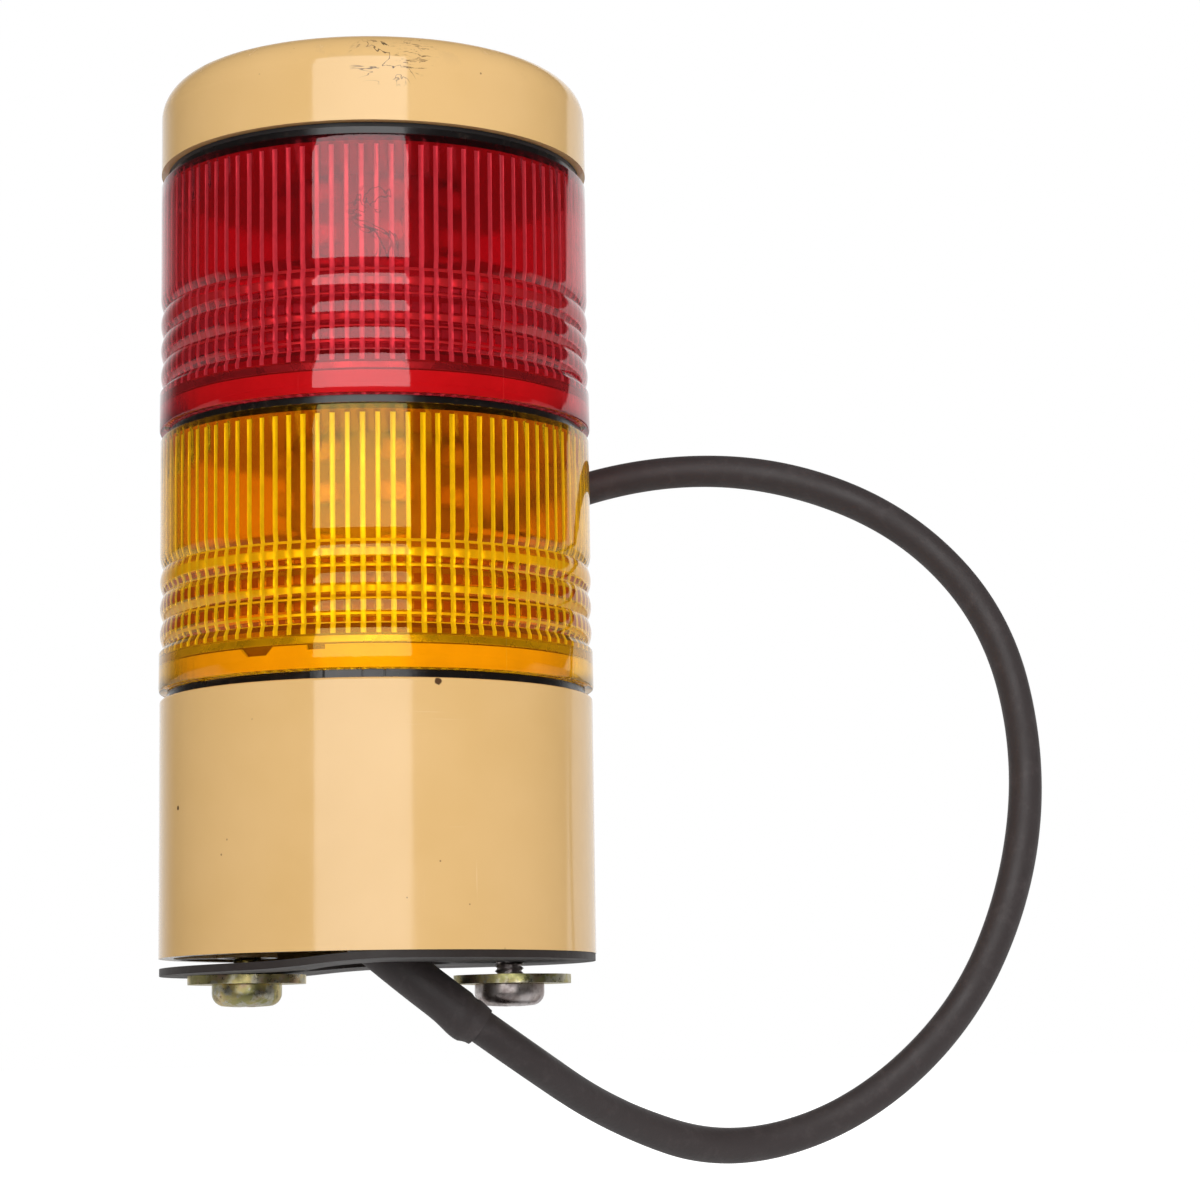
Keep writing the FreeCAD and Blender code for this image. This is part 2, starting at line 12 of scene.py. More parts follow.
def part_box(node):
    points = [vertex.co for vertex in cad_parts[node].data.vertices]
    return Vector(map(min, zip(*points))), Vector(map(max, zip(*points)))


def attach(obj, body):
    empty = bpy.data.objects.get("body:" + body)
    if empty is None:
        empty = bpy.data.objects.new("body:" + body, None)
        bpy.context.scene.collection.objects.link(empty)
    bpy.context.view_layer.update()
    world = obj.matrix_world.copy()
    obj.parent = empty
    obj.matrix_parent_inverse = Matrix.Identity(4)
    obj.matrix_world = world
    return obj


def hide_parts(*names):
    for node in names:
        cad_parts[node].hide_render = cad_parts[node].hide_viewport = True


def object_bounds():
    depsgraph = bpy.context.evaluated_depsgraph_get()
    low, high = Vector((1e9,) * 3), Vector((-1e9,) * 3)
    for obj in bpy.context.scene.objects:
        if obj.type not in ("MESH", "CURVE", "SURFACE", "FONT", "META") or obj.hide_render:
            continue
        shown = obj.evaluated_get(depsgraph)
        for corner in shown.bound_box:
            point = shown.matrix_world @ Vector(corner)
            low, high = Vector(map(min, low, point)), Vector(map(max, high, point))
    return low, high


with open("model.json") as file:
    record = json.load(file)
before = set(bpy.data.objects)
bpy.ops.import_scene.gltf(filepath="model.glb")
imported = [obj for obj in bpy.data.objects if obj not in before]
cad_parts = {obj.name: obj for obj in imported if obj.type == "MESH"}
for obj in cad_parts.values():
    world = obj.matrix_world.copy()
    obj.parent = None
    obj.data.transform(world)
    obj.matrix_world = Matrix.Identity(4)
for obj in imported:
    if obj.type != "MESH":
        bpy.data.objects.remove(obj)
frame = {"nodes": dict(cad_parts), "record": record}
cad_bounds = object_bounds()
MM = 0.001

# ---------------------------------------------------------------- lens sizes
TOWER_RADIUS = 30.0 * MM
SEAT_BORE = 28.0 * MM
BAND_PROUD = 0.15 * MM
BAND_HEIGHT = 5.3 * MM
LENS_EDGE = 0.3 * MM
GROOVE_FIRST = 6.1 * MM
GROOVE_PITCH = 3.67 * MM
GROOVE_COUNT = 4
GROOVE_DEPTH = 0.55 * MM
# Between grooves the wall swells as a sine to a power; under 1 that is fuller than a sine.
BEAD_FULLNESS = 0.75
BEAD_STEPS = 10
WALL_STEPS = 6
LENS_SEAM = math.radians(-55.5)

# Flutes come in pairs, a wide one and a narrow one. Their shoulders and crests are shares of
# half a flute's width, and cells of painted shade reach a distance to each side of the wide flute's middle.
FLUTE_PAIRS = 45
FIRST_FLUTE = math.radians(-93.45)
WIDE_FLUTE = 0.72 * MM
NARROW_FLUTE = 0.64 * MM
FLUTE_SHOULDER = 0.7
SHOULDER_RISE = 0.3
CREST_RISE = 0.36
CELL_REACH = 1.32 * MM
FLUTE_LOW = 4.6 * MM
FLUTE_HIGH = 34.4 * MM
FLUTE_RUNOUT = 0.4 * MM

# Rows on the inner wall: kind, height of the middle above the lens's foot, and height, in mm.
LENS_ROWS = (
    ("ledge", 16.75, 0.40), ("ledge", 15.50, 0.90), ("cell", 14.65, 0.50), ("ledge", 13.90, 0.75),
    ("cell", 13.15, 0.35), ("cell", 11.95, 0.95), ("ledge", 10.90, 0.75), ("cell", 9.85, 0.75),
    ("ledge", 9.10, 0.20), ("cell", 8.35, 0.90), ("ledge", 7.50, 0.30), ("cell", 6.85, 0.50),
    ("ledge", 6.00, 0.80), ("strip", 3.95, 1.00),
)
LEDGE_DEPTH = 0.08 * MM
CELL_DEPTH = 0.06 * MM
ROW_SLOPE = 0.12

# The lens's material slots.
OUTER_FACE, INNER_FACE, FLUTES, LEDGES, PAINTED_SHADE_CELLS, STRIP = range(6)

# ---------------------------------------------------------------- LED sizes
HOLDER_SIDES = 8
HOLDER_APOTHEM = 12.0 * MM
HOLDER_FIRST_ANGLE = math.radians(-77.6)
LED_WIDTH = 4.6 * MM
LED_HEIGHT = 2.8 * MM
LED_THICKNESS = 1.4 * MM
LED_BEVEL = 0.2 * MM
LED_CUP_RADIUS = 1.2 * MM
# The cup and the dome in it: distance out from the package's face in mm, and share of the cup's radius.
LED_DOME_OUTLINE = ((0.0, 1.0), (-0.35, 0.85), (-0.3, 0.78), (0.05, 0.66), (0.28, 0.42), (0.38, 0.18))
LED_SIDES = 24
LED_TOP_LEVEL = 32.0 * MM
LED_ROW_PITCH = 5.8 * MM
LED_ROW_COUNT = 2

# ---------------------------------------------------------------- screw sizes
SCREW_SPACING = 36.0 * MM
SCREW_RADIUS = 2.0 * MM
SCREW_LENGTH = 14.0 * MM
SCREW_HEAD_RADIUS = 4.8 * MM
SCREW_HEAD_HEIGHT = 3.1 * MM
SCREW_HEAD_ROUND = 1.8 * MM
HEAD_CROWN = 0.12 * MM
HEAD_EDGE = 0.1 * MM
HEAD_FACE_STEPS = 18
HEAD_ROUND_STEPS = 6
SCREW_SIDES = 96
THREAD_PITCH = 0.7 * MM
THREAD_DEPTH = 0.32 * MM
THREAD_STEPS = 8
RECESS_WIDTH = 1.1 * MM
RECESS_SPAN = 5.0 * MM
RECESS_DEPTH = 1.3 * MM
RECESS_SIDE_SLOPE = 0.3
RECESS_END_SLOPE = 0.2
# A screw's side along X, the height that its head seats at, and its recess's turn in radians.
LEFT_SCREW = (-1, -3.55 * MM, 0.35)
RIGHT_SCREW = (1, -3.95 * MM, 1.1)

# ---------------------------------------------------------------- lead sizes
LEAD_RADIUS = 2.5 * MM
LEAD_STEP = 0.8 * MM
LEAD_SIDES = 32
# The sleeve's ends are distances along the lead from its exit.
SLEEVE_RADIUS = 3.0 * MM
SLEEVE_START = 6.5 * MM
SLEEVE_END = 34.0 * MM
SLEEVE_STEP = 0.5 * MM
SLEEVE_SIDES = 40
SLEEVE_WALL_SHARE = 0.17
# The route's points, in mm.
LEAD_ROUTE = (
    (-12.0, -3.0, 11.5),
    (2.5, -4.5, -1.5),
    (19.0, -4.5, -13.5),
    (32.5, 9.0, -22.5),
    (50.0, 22.0, -28.5),
    (69.5, 27.0, -23.5),
    (86.0, 28.5, -9.5),
    (95.0, 29.0, 9.0),
    (98.0, 30.0, 29.5),
    (94.0, 32.0, 50.5),
    (81.0, 34.5, 66.0),
    (61.5, 35.0, 74.0),
    (41.0, 36.0, 74.5),
    (20.5, 36.0, 68.0),
    (5.5, 36.0, 52.5),
    (3.5, 36.0, 32.0),
)

# ---------------------------------------------------------------- camera, lights and stage
CAMERA_PLACE = (0.0, -0.43832, -0.01275)
CAMERA_YAW = math.radians(-4.087)
CAMERA_PITCH = math.radians(8.051)
CAMERA_ROLL = math.radians(-0.877)
CAMERA_LENS = 94.755
CAMERA_SENSOR = 36.0
KEY_RADIANCE = 3.2
FILL_RADIANCE = 1.7
BACK_RADIANCE = 0.9
FLOOR_DROP = 14.0 * MM
FLOOR_SIZE = 6.0
FLOOR_GLOW = 0.7
# The room's light, and how bright its front is in mirrored rays. Towards the back they see white,
# which sets in between two values of a ray's Y; on the right that edge slants with its Z.
ROOM_LIGHT = 0.5
ROOM_FRONT = 0.04
WHITE_FROM_RIGHT = (0.41, 0.45)
WHITE_FROM_LEFT = (0.62, 1.0)
RIGHT_EDGE_SLANT = 0.64


# ---------------------------------------------------------------- camera
def make_camera():
    """The photo's viewpoint: low in front, looking a little up, rolled by a degree."""
    level = Vector((math.cos(CAMERA_YAW), math.sin(CAMERA_YAW), 0.0))
    flat = math.cos(CAMERA_PITCH)
    forward = Vector((-math.sin(CAMERA_YAW) * flat, math.cos(CAMERA_YAW) * flat, math.sin(CAMERA_PITCH)))
    upright = level.cross(forward)
    right = level * math.cos(CAMERA_ROLL) + upright * math.sin(CAMERA_ROLL)
    up = upright * math.cos(CAMERA_ROLL) - level * math.sin(CAMERA_ROLL)
    data = bpy.data.cameras.new("photo_camera")
    data.sensor_width = CAMERA_SENSOR
    data.lens = CAMERA_LENS
    data.clip_start = 0.01
    camera = bpy.data.objects.new("photo_camera", data)
    turn = Matrix((right, up, -forward)).transposed().to_4x4()
    camera.matrix_world = Matrix.Translation(CAMERA_PLACE) @ turn
    bpy.context.scene.collection.objects.link(camera)
    bpy.context.scene.camera = camera


# ---------------------------------------------------------------- node helpers
class Nodes:
    """Short calls for building the nodes of one material, or of the world."""

    def __init__(self, owner, output="ShaderNodeOutputMaterial", place="Object"):
        owner.use_nodes = True
        self.owner = owner
        self.tree = owner.node_tree
        self.tree.nodes.clear()
        self.output = self.new(output)
        self.place = self.new("ShaderNodeTexCoord").outputs[place]

    def new(self, kind, **values):
        node = self.tree.nodes.new(kind)
        for key, value in values.items():
            setattr(node, key, value)
        return node

    def link(self, source, target):
        self.tree.links.new(source, target)

    def put(self, socket, value):
        """Link a socket to another, or give it a plain value."""
        if isinstance(value, bpy.types.NodeSocket):
            self.link(value, socket)
        else:
            socket.default_value = value

    def stretched(self, scale):
        """The object's coordinates, scaled apart along each axis."""
        node = self.new("ShaderNodeMapping")
        self.link(self.place, node.inputs["Vector"])
        node.inputs["Scale"].default_value = scale
        return node.outputs["Vector"]

    def noise(self, scale, detail=4.0, rough=0.55, at=None, distortion=0.0):
        node = self.new("ShaderNodeTexNoise")
        self.link(at or self.place, node.inputs["Vector"])
        node.inputs["Scale"].default_value = scale
        node.inputs["Detail"].default_value = detail
        node.inputs["Roughness"].default_value = rough
        node.inputs["Distortion"].default_value = distortion
        return node.outputs["Fac"]

    def cells(self, scale):
        """The distance to the nearest of many scattered points."""
        node = self.new("ShaderNodeTexVoronoi")
        self.link(self.place, node.inputs["Vector"])
        node.inputs["Scale"].default_value = scale
        return node.outputs["Distance"]

    def spread(self, value, low, high, to_low=0.0, to_high=1.0, steps="LINEAR"):
        """Map low..high to to_low..to_high, clamped."""
        node = self.new("ShaderNodeMapRange", interpolation_type=steps)
        self.put(node.inputs["Value"], value)
        node.inputs["From Min"].default_value = low
        node.inputs["From Max"].default_value = high
        node.inputs["To Min"].default_value = to_low
        node.inputs["To Max"].default_value = to_high
        return node.outputs["Result"]

    def mottle(self, scale, detail, low, high, to_low=0.0, to_high=1.0):
        """A noise, spread."""
        return self.spread(self.noise(scale, detail), low, high, to_low, to_high)

    def maths(self, operation, a, b=0.0):
        node = self.new("ShaderNodeMath", operation=operation)
        self.put(node.inputs[0], a)
        self.put(node.inputs[1], b)
        return node.outputs[0]

    def times(self, a, b):
        return self.maths("MULTIPLY", a, b)

    def plus(self, a, b):
        return self.maths("ADD", a, b)

    def minus(self, a, b):
        return self.maths("SUBTRACT", a, b)

    def blend(self, share, a, b):
        """Colour a where the share is 0, and b where it is 1."""
        node = self.new("ShaderNodeMix", data_type="RGBA")
        self.put(node.inputs["Factor"], share)
        self.put(node.inputs[6], colour(a))
        self.put(node.inputs[7], colour(b))
        return node.outputs[2]

    def axis(self, index):
        node = self.new("ShaderNodeSeparateXYZ")
        self.link(self.place, node.inputs[0])
        return node.outputs[index]

    def near(self, point, radius):
        """1 at a point, falling to 0 at that distance from it."""
        node = self.new("ShaderNodeVectorMath", operation="DISTANCE")
        self.link(self.place, node.inputs[0])
        node.inputs[1].default_value = point
        return self.spread(node.outputs["Value"], 0.0, radius, 1.0, 0.0)

    def turn(self):
        """The angle about the tower's axis, in radians."""
        return self.maths("ARCTAN2", self.axis(1), self.axis(0))

    def radius(self):
        """The distance from the tower's axis."""
        x, y = self.axis(0), self.axis(1)
        return self.maths("SQRT", self.plus(self.times(x, x), self.times(y, y)))

    def scribble(self, scale, width, distortion):
        """Thin curling lines, where a noise crosses its middle."""
        noise = self.noise(scale, 3.0, 0.6, distortion=distortion)
        off = self.maths("ABSOLUTE", self.minus(noise, 0.5))
        return self.spread(off, 0.35 * width, width, 1.0, 0.0)

    def bump(self, height, distance, strength):
        node = self.new("ShaderNodeBump")
        self.put(node.inputs["Height"], height)
        node.inputs["Distance"].default_value = distance
        node.inputs["Strength"].default_value = strength
        return node.outputs["Normal"]

    def plastic(self, base, rough, normal, **sockets):
        """A Principled shader, straight to the output."""
        shader = self.new("ShaderNodeBsdfPrincipled")
        self.put(shader.inputs["Base Color"], colour(base))
        self.put(shader.inputs["Roughness"], rough)
        self.link(normal, shader.inputs["Normal"])
        for name, value in sockets.items():
            self.put(shader.inputs[name.replace("_", " ")], value)
        self.show(shader.outputs[0])
        return shader.outputs[0]

    def diffuse(self, shade):
        shader = self.new("ShaderNodeBsdfDiffuse")
        self.put(shader.inputs["Color"], colour(shade))
        return shader.outputs[0]

    def mix(self, share, a, b):
        """Shader a where the share is 0, and b where it is 1."""
        node = self.new("ShaderNodeMixShader")
        for socket, source in zip(node.inputs, (share, a, b)):
            self.link(source, socket)
        return node.outputs[0]

    def show(self, shader):
        self.link(shader, self.output.inputs["Surface"])


def colour(value):
    """A plain tuple as a colour with alpha; a socket as it is."""
    if isinstance(value, tuple) and len(value) == 3:
        return (*value, 1.0)
    return value


def material_nodes(name):
    """The nodes of a new material."""
    return Nodes(bpy.data.materials.new(name))


def dimmed(tint, share):
    """A colour times a share."""
    return tuple(share * c for c in tint)


# ---------------------------------------------------------------- cream plastic
CREAM, CREAM_LIGHT = (0.655, 0.415, 0.165), (0.69, 0.445, 0.19)
SPECK_BROWN = (0.16, 0.09, 0.04)
SCRATCH_PALE = (0.86, 0.70, 0.46)
DOT_BROWN = (0.09, 0.045, 0.02)
SCRIBBLE_BROWN = (0.10, 0.065, 0.04)
STREAK_BROWN = (0.12, 0.075, 0.04)
RUB_BROWN = (0.56, 0.36, 0.16)
# Marks: a place, and how far the mark reaches from it.
BASE_DOTS = (((0.00793, -0.02893, 0.03476), 0.9 * MM), ((-0.0266, -0.01387, 0.01968), 0.6 * MM))
CAP_SCRIBBLES = (((0.0004, -0.0298, 0.1186), 5.0 * MM), ((0.0030, -0.0296, 0.1184), 5.0 * MM))
CAP_STREAK = ((0.0056, -0.0293, 0.1194), 4.5 * MM)
CAP_SHOULDER = (117.5 * MM, 120.5 * MM)
CAP_TOP = (121.5 * MM, 122.6 * MM)
CAP_TOP_ROUGHER = 0.38


def beige_material(name, scuffed):
    """Glossy cream ABS with faint mottling, specks, hairline scratches and smudges."""
    n = material_nodes(name)
    base = n.blend(n.mottle(60.0, 3.0, 0.3, 0.7), CREAM, CREAM_LIGHT)
    base = n.blend(n.times(rare_specks(n), 0.75), base, SPECK_BROWN)
    scratch = hairlines(n)
    base = n.blend(n.times(scratch, 0.35), base, SCRATCH_PALE)
    smudge = n.spread(n.noise(24.0, 5.0, distortion=0.6), 0.35, 0.75, 0.07, 0.17)
    rough = n.plus(smudge, n.times(scratch, 0.25))
    height = n.plus(n.times(n.noise(380.0, 2.0), 0.2), n.times(scratch, -0.5))
    for place, reach in BASE_DOTS:
        dot = n.plus(n.near(place, reach), n.times(n.noise(2200.0), 0.4))
        base = n.blend(n.spread(dot, 0.6, 0.75), base, DOT_BROWN)
    if scuffed:
        base = cap_marks(n, base)
        wear = cap_rubs(n)
        base = n.blend(wear, base, RUB_BROWN)
        rough = n.plus(rough, n.times(wear, 0.5))
        rough = n.plus(rough, n.spread(n.axis(2), *CAP_TOP, 0.0, CAP_TOP_ROUGHER))
    n.plastic(base, rough, n.bump(height, 0.04 * MM, 0.6))
    return n.owner


def rare_specks(n):
    """Small round specks, kept only where a broad noise is high."""
    specks = n.spread(n.cells(420.0), 0.045, 0.075, 1.0, 0.0)
    return n.times(specks, n.mottle(95.0, 1.0, 0.60, 0.66))


def hairlines(n):
    """Fine scratches, upright ones and level ones, in patches."""
    upright = n.noise(1.0, 2.0, at=n.stretched((2600.0, 2600.0, 45.0)))
    level = n.noise(1.0, 2.0, at=n.stretched((60.0, 60.0, 5200.0)))
    fine = n.maths("MAXIMUM", n.spread(upright, 0.73, 0.79), n.spread(level, 0.74, 0.80))
    return n.times(fine, n.mottle(38.0, 2.0, 0.5, 0.62))


def cap_marks(n, base):
    """Dark scribbles and a streak on the front of the cap's shoulder."""
    for place, reach in CAP_SCRIBBLES:
        mark = n.times(n.scribble(150.0, 0.011, 1.2), n.spread(n.near(place, reach), 0.2, 0.5))
        base = n.blend(n.times(mark, 0.85), base, SCRIBBLE_BROWN)
    lines = n.noise(1.0, 4.0, 0.7, at=n.stretched((420.0, 420.0, 2600.0)), distortion=0.5)
    mark = n.times(n.spread(lines, 0.56, 0.62), n.spread(n.near(*CAP_STREAK), 0.2, 0.5))
    return n.blend(n.times(mark, 0.8), base, STREAK_BROWN)


def cap_rubs(n):
    """Where the cap is rubbed, from its shoulder up."""
    rubs = n.spread(n.noise(260.0, 6.0, 0.7), 0.56, 0.66)
    return n.times(n.times(n.spread(n.axis(2), *CAP_SHOULDER), rubs), 0.45)


# ---------------------------------------------------------------- black plastic and rubber
RING_BLACK, RING_DUST = (0.006, 0.005, 0.005), (0.05, 0.036, 0.028)
PLATE_PALE, PLATE_DUSTY = (0.70, 0.48, 0.38), (0.60, 0.42, 0.34)
PLATE_EDGE = (27.6 * MM, 27.9 * MM)


def ring_material():
    """Glossy black nylon with grey dust in patches; its inner plate, behind the lenses, is pale."""
    n = material_nodes("ring_black_plastic")
    dust = n.spread(n.noise(700.0, 6.0, 0.7), 0.55, 0.75, 0.0, 0.5)
    base = n.blend(dust, RING_BLACK, RING_DUST)
    inner = n.spread(n.radius(), *PLATE_EDGE, 1.0, 0.0)
    base = n.blend(inner, base, n.blend(dust, PLATE_PALE, PLATE_DUSTY))
    rough = n.mottle(150.0, 3.0, 0.3, 0.7, 0.12, 0.32)
    n.plastic(base, rough, n.bump(n.noise(900.0, 3.0), 0.03 * MM, 0.4))
    return n.owner


def rubber_material(name, base, grain, dusty):
    """Matte black rubber or vinyl with a fine grain, a few nicks and pale dust."""
    n = material_nodes(name)
    dust = n.times(n.spread(n.noise(320.0, 8.0, 0.75), 0.52, 0.78), dusty)
    pale = tuple(2.6 * c + 0.03 for c in base)
    rough = n.mottle(120.0, 4.0, 0.3, 0.7, 0.48, 0.66)
    nicks = n.spread(n.cells(260.0), 0.0, 0.09, 1.0, 0.0)
    height = n.minus(n.noise(grain, 5.0, 0.6), n.times(nicks, 0.6))
    n.plastic(n.blend(dust, base, pale), rough, n.bump(height, 0.07 * MM, 0.7),
              Sheen_Weight=0.08, Sheen_Roughness=0.5)
    return n.owner


# ---------------------------------------------------------------- lens materials
LENS_IOR = 1.58
# An outer face: its tint, what scratches and the moulding seam show, and the tint of its gloss.
AMBER_OUTER = ((1.0, 0.52, 0.004), (1.0, 0.72, 0.1), (0.85, 0.85, 0.35))
RED_OUTER = ((0.55, 0.034, 0.05), (0.8, 0.25, 0.25), (1.0, 0.80, 0.82))
RED_LENS_MARKS = (((0.0003, -0.030, 0.0975), 5.5 * MM), ((0.0012, -0.030, 0.0935), 4.0 * MM))
# The cell tints are painted shade: dark brown or dark red for the dark lines beside the wide flutes.
INNER_TINTS = {
    "amber": {
        "clear": (1.0, 0.40, 0.10), "foot": (1.0, 1.0, 0.10),
        "flute": (1.0, 0.98, 0.75), "ledge": (1.0, 0.86, 0.50), "cell": (0.37, 0.085, 0.04),
    },
    "red": {
        "clear": (1.0, 0.03, 0.10), "foot": (1.0, 0.35, 0.15),
        "flute": (1.0, 0.85, 0.85), "ledge": (0.85, 0.40, 0.35), "cell": (0.45, 0.12, 0.16),
    },
}
UNTINTED = (1.0, 1.0, 1.0)


def lens_material(name, tints, marks=()):
    """Tinted polycarbonate's outer face. Rays from lamps pass straight, so that the inside is lit."""
    tint, scratch_tint, gleam = tints
    n = material_nodes(name)
    lines = n.noise(1.0, 2.0, at=n.stretched((1500.0, 1500.0, 160.0)), distortion=0.6)
    scratch = n.spread(lines, 0.70, 0.78)
    smudge = n.spread(n.noise(45.0, 4.0, distortion=0.5), 0.4, 0.75, 0.015, 0.06)
    rough = n.plus(smudge, n.times(scratch, 0.08))
    base = n.blend(n.times(scratch, 0.25), tint, scratch_tint)
    off_seam = n.maths("ABSOLUTE", n.minus(n.turn(), LENS_SEAM))
    seam = n.spread(off_seam, 0.001, 0.004, 1.0, 0.0)
    base = n.blend(n.times(seam, 0.5), base, scratch_tint)
    for place, reach in marks:
        gouge = n.times(n.scribble(150.0, 0.014, 1.0), n.spread(n.near(place, reach), 0.2, 0.45))
        base = n.blend(n.times(gouge, 0.8), base, dimmed(tint, 0.04))
    height = n.plus(n.noise(240.0, 2.0), n.times(scratch, 0.2))
    glass = n.plastic(base, rough, n.bump(height, 0.02 * MM, 0.35), Transmission_Weight=1.0,
                      IOR=LENS_IOR, Specular_Tint=colour(gleam))
    let_lamps_through(n, glass, tint)
    return n.owner


def inner_face_material(name, tint, foot_tint, foot_top):
    """The lens's inner face, slightly hazy; its foot, seated on the carrier's skirt, has its own tint."""
    n = material_nodes(name)
    haze = n.mottle(300.0, 3.0, 0.35, 0.7, 0.12, 0.22)
    base = n.blend(n.spread(n.axis(2), foot_top, foot_top + 0.1 * MM), foot_tint, tint)
    glass = n.plastic(base, haze, n.bump(n.noise(500.0, 2.0), 0.01 * MM, 0.3),
                      Transmission_Weight=1.0, IOR=LENS_IOR, Specular_IOR_Level=0.12)
    let_lamps_through(n, glass, tint)
    return n.owner


def satin_material(name, tint, mirrored, rough=0.42):
    """A flute, ledge or cell: satin, and partly a mirror, as a ridge behind clear plastic looks; a cell's
    dark tint is painted shade.
    """
    n = material_nodes(name)
    shade = n.blend(n.mottle(650.0, 3.0, 0.35, 0.7), tint, dimmed(tint, 0.88))
    gloss = n.mottle(300.0, 2.0, 0.3, 0.7, rough - 0.1, rough + 0.1)
    satin = n.plastic(shade, gloss, n.bump(n.noise(1500.0, 2.0), 0.02 * MM, 0.3), Metallic=mirrored)
    let_lamps_through(n, satin, UNTINTED)
    return n.owner


def let_lamps_through(n, surface, tint):
    """Let shadow and diffuse rays pass straight, tinted so that in and out again tints them once."""
    through = n.new("ShaderNodeBsdfTransparent")
    through.inputs["Color"].default_value = colour(tuple(math.sqrt(c) for c in tint))
    rays = n.new("ShaderNodeLightPath")
    straight = n.maths("MAXIMUM", rays.outputs["Is Shadow Ray"], rays.outputs["Is Diffuse Ray"])
    n.show(n.mix(straight, surface, through.outputs[0]))


def inner_materials(colour_name, lens_foot):
    """The materials of a lens's inner wall, from INNER_FACE to STRIP."""
    tints = INNER_TINTS[colour_name]
    name = "lens_" + colour_name
    foot_top = lens_foot + FLUTE_LOW
    return (
        inner_face_material(name + "_inner_face", tints["clear"], tints["foot"], foot_top),
        satin_material(name + "_flutes", tints["flute"], 0.5),
        satin_material(name + "_ledges", tints["ledge"], 0.5),
        # Painted shade: the cells beside each wide flute are dark, for the dark lines that refraction makes
        # there.
        satin_material(name + "_painted_shade_cells", tints["cell"], 0.2),
        satin_material(name + "_strip", dimmed(tints["ledge"], 0.8), 0.75, 0.28),
    )


# ---------------------------------------------------------------- other plastics
SKIRT_PALE, SKIRT_DULL = (0.92, 0.91, 0.87), (0.78, 0.77, 0.73)
# Painted shade: in from SKIRT_FACE, the carrier's notch, ledge and inside are dark brown for the shade in
# them.
PAINTED_SHADE_BROWN, PAINTED_SHADE_BROWN_LIGHT = (0.20, 0.10, 0.06), (0.30, 0.17, 0.10)
SKIRT_FACE = (27.3 * MM, 27.5 * MM)
BOARD_GREENS = ((0.01, 0.10, 0.035), (0.012, 0.13, 0.045), (0.03, 0.22, 0.08))
TIN = (0.75, 0.73, 0.70)
TINNED_FROM = (16.5 * MM, 17.0 * MM)


def moulded_material(name, base, rough=0.38):
    """Plain moulded plastic with a light grain and slight shade changes."""
    n = material_nodes(name)
    shade = n.blend(n.mottle(130.0, 4.0, 0.35, 0.7), base, dimmed(base, 0.82))
    gloss = n.mottle(70.0, 3.0, 0.3, 0.7, rough - 0.08, rough + 0.1)
    n.plastic(shade, gloss, n.bump(n.noise(1100.0, 3.0), 0.03 * MM, 0.4))
    return n.owner


def carrier_material():
    """The carrier's pale skirt; in from its outer face, its notch, ledge and inside are painted dark brown
    for the shade there.
    """
    n = material_nodes("carrier_plastic")
    pale = n.blend(n.mottle(130.0, 4.0, 0.35, 0.7), SKIRT_PALE, SKIRT_DULL)
    painted_shade = n.blend(n.mottle(160.0, 3.0, 0.35, 0.7), PAINTED_SHADE_BROWN, PAINTED_SHADE_BROWN_LIGHT)
    # Painted shade: in from the skirt's face, the carrier turns dark brown.
    base = n.blend(n.spread(n.radius(), *SKIRT_FACE), painted_shade, pale)
    gloss = n.mottle(70.0, 3.0, 0.3, 0.7, 0.3, 0.48)
    n.plastic(base, gloss, n.bump(n.noise(1100.0, 3.0), 0.03 * MM, 0.4))
    return n.owner


def board_material():
    """Green solder mask with a pattern of darker and lighter copper areas under it."""
    n = material_nodes("board_green_mask")
    tracks = n.new("ShaderNodeTexBrick")
    n.link(n.stretched((420.0, 420.0, 420.0)), tracks.inputs["Vector"])
    for socket, shade in zip(("Color1", "Color2", "Mortar"), BOARD_GREENS):
        tracks.inputs[socket].default_value = colour(shade)
    tracks.inputs["Mortar Size"].default_value = 0.03
    n.plastic(tracks.outputs["Color"], 0.3, n.bump(n.noise(1400.0, 2.0), 0.03 * MM, 0.4))
    return n.owner


def led_material(name, base, other, rough, mirrored=0.0):
    """An LED package's body, or the silvered cup and clear dome in it."""
    n = material_nodes(name)
    shade = n.blend(n.mottle(420.0, 2.0, 0.35, 0.65), base, other)
    n.plastic(shade, rough, n.bump(n.noise(900.0, 2.0), 0.03 * MM, 0.3), Coat_Weight=0.4, Metallic=mirrored)
    return n.owner


def core_material(name, base):
    """Glossy insulation; what stands below TINNED_FROM is bare and tinned."""
    n = material_nodes(name)
    streak = n.noise(1.0, 3.0, at=n.stretched((900.0, 900.0, 90.0)))
    tinned = n.spread(n.axis(2), *TINNED_FROM, 1.0, 0.0)
    shade = n.blend(n.spread(streak, 0.3, 0.7, 0.0, 0.25), base, dimmed(base, 0.7))
    shade = n.blend(tinned, shade, TIN)
    rough = n.mottle(600.0, 2.0, 0.3, 0.7, 0.25, 0.4)
    n.plastic(shade, rough, n.bump(streak, 0.04 * MM, 0.4), Metallic=tinned)
    return n.owner


# ---------------------------------------------------------------- metals
ZINC_OLIVE, ZINC_PINK = (0.42, 0.40, 0.17), (0.66, 0.42, 0.33)
WORN_DARK, WORN_BRIGHT = (0.34, 0.27, 0.28), (0.80, 0.74, 0.74)
BLOT_BROWN = (0.06, 0.045, 0.03)


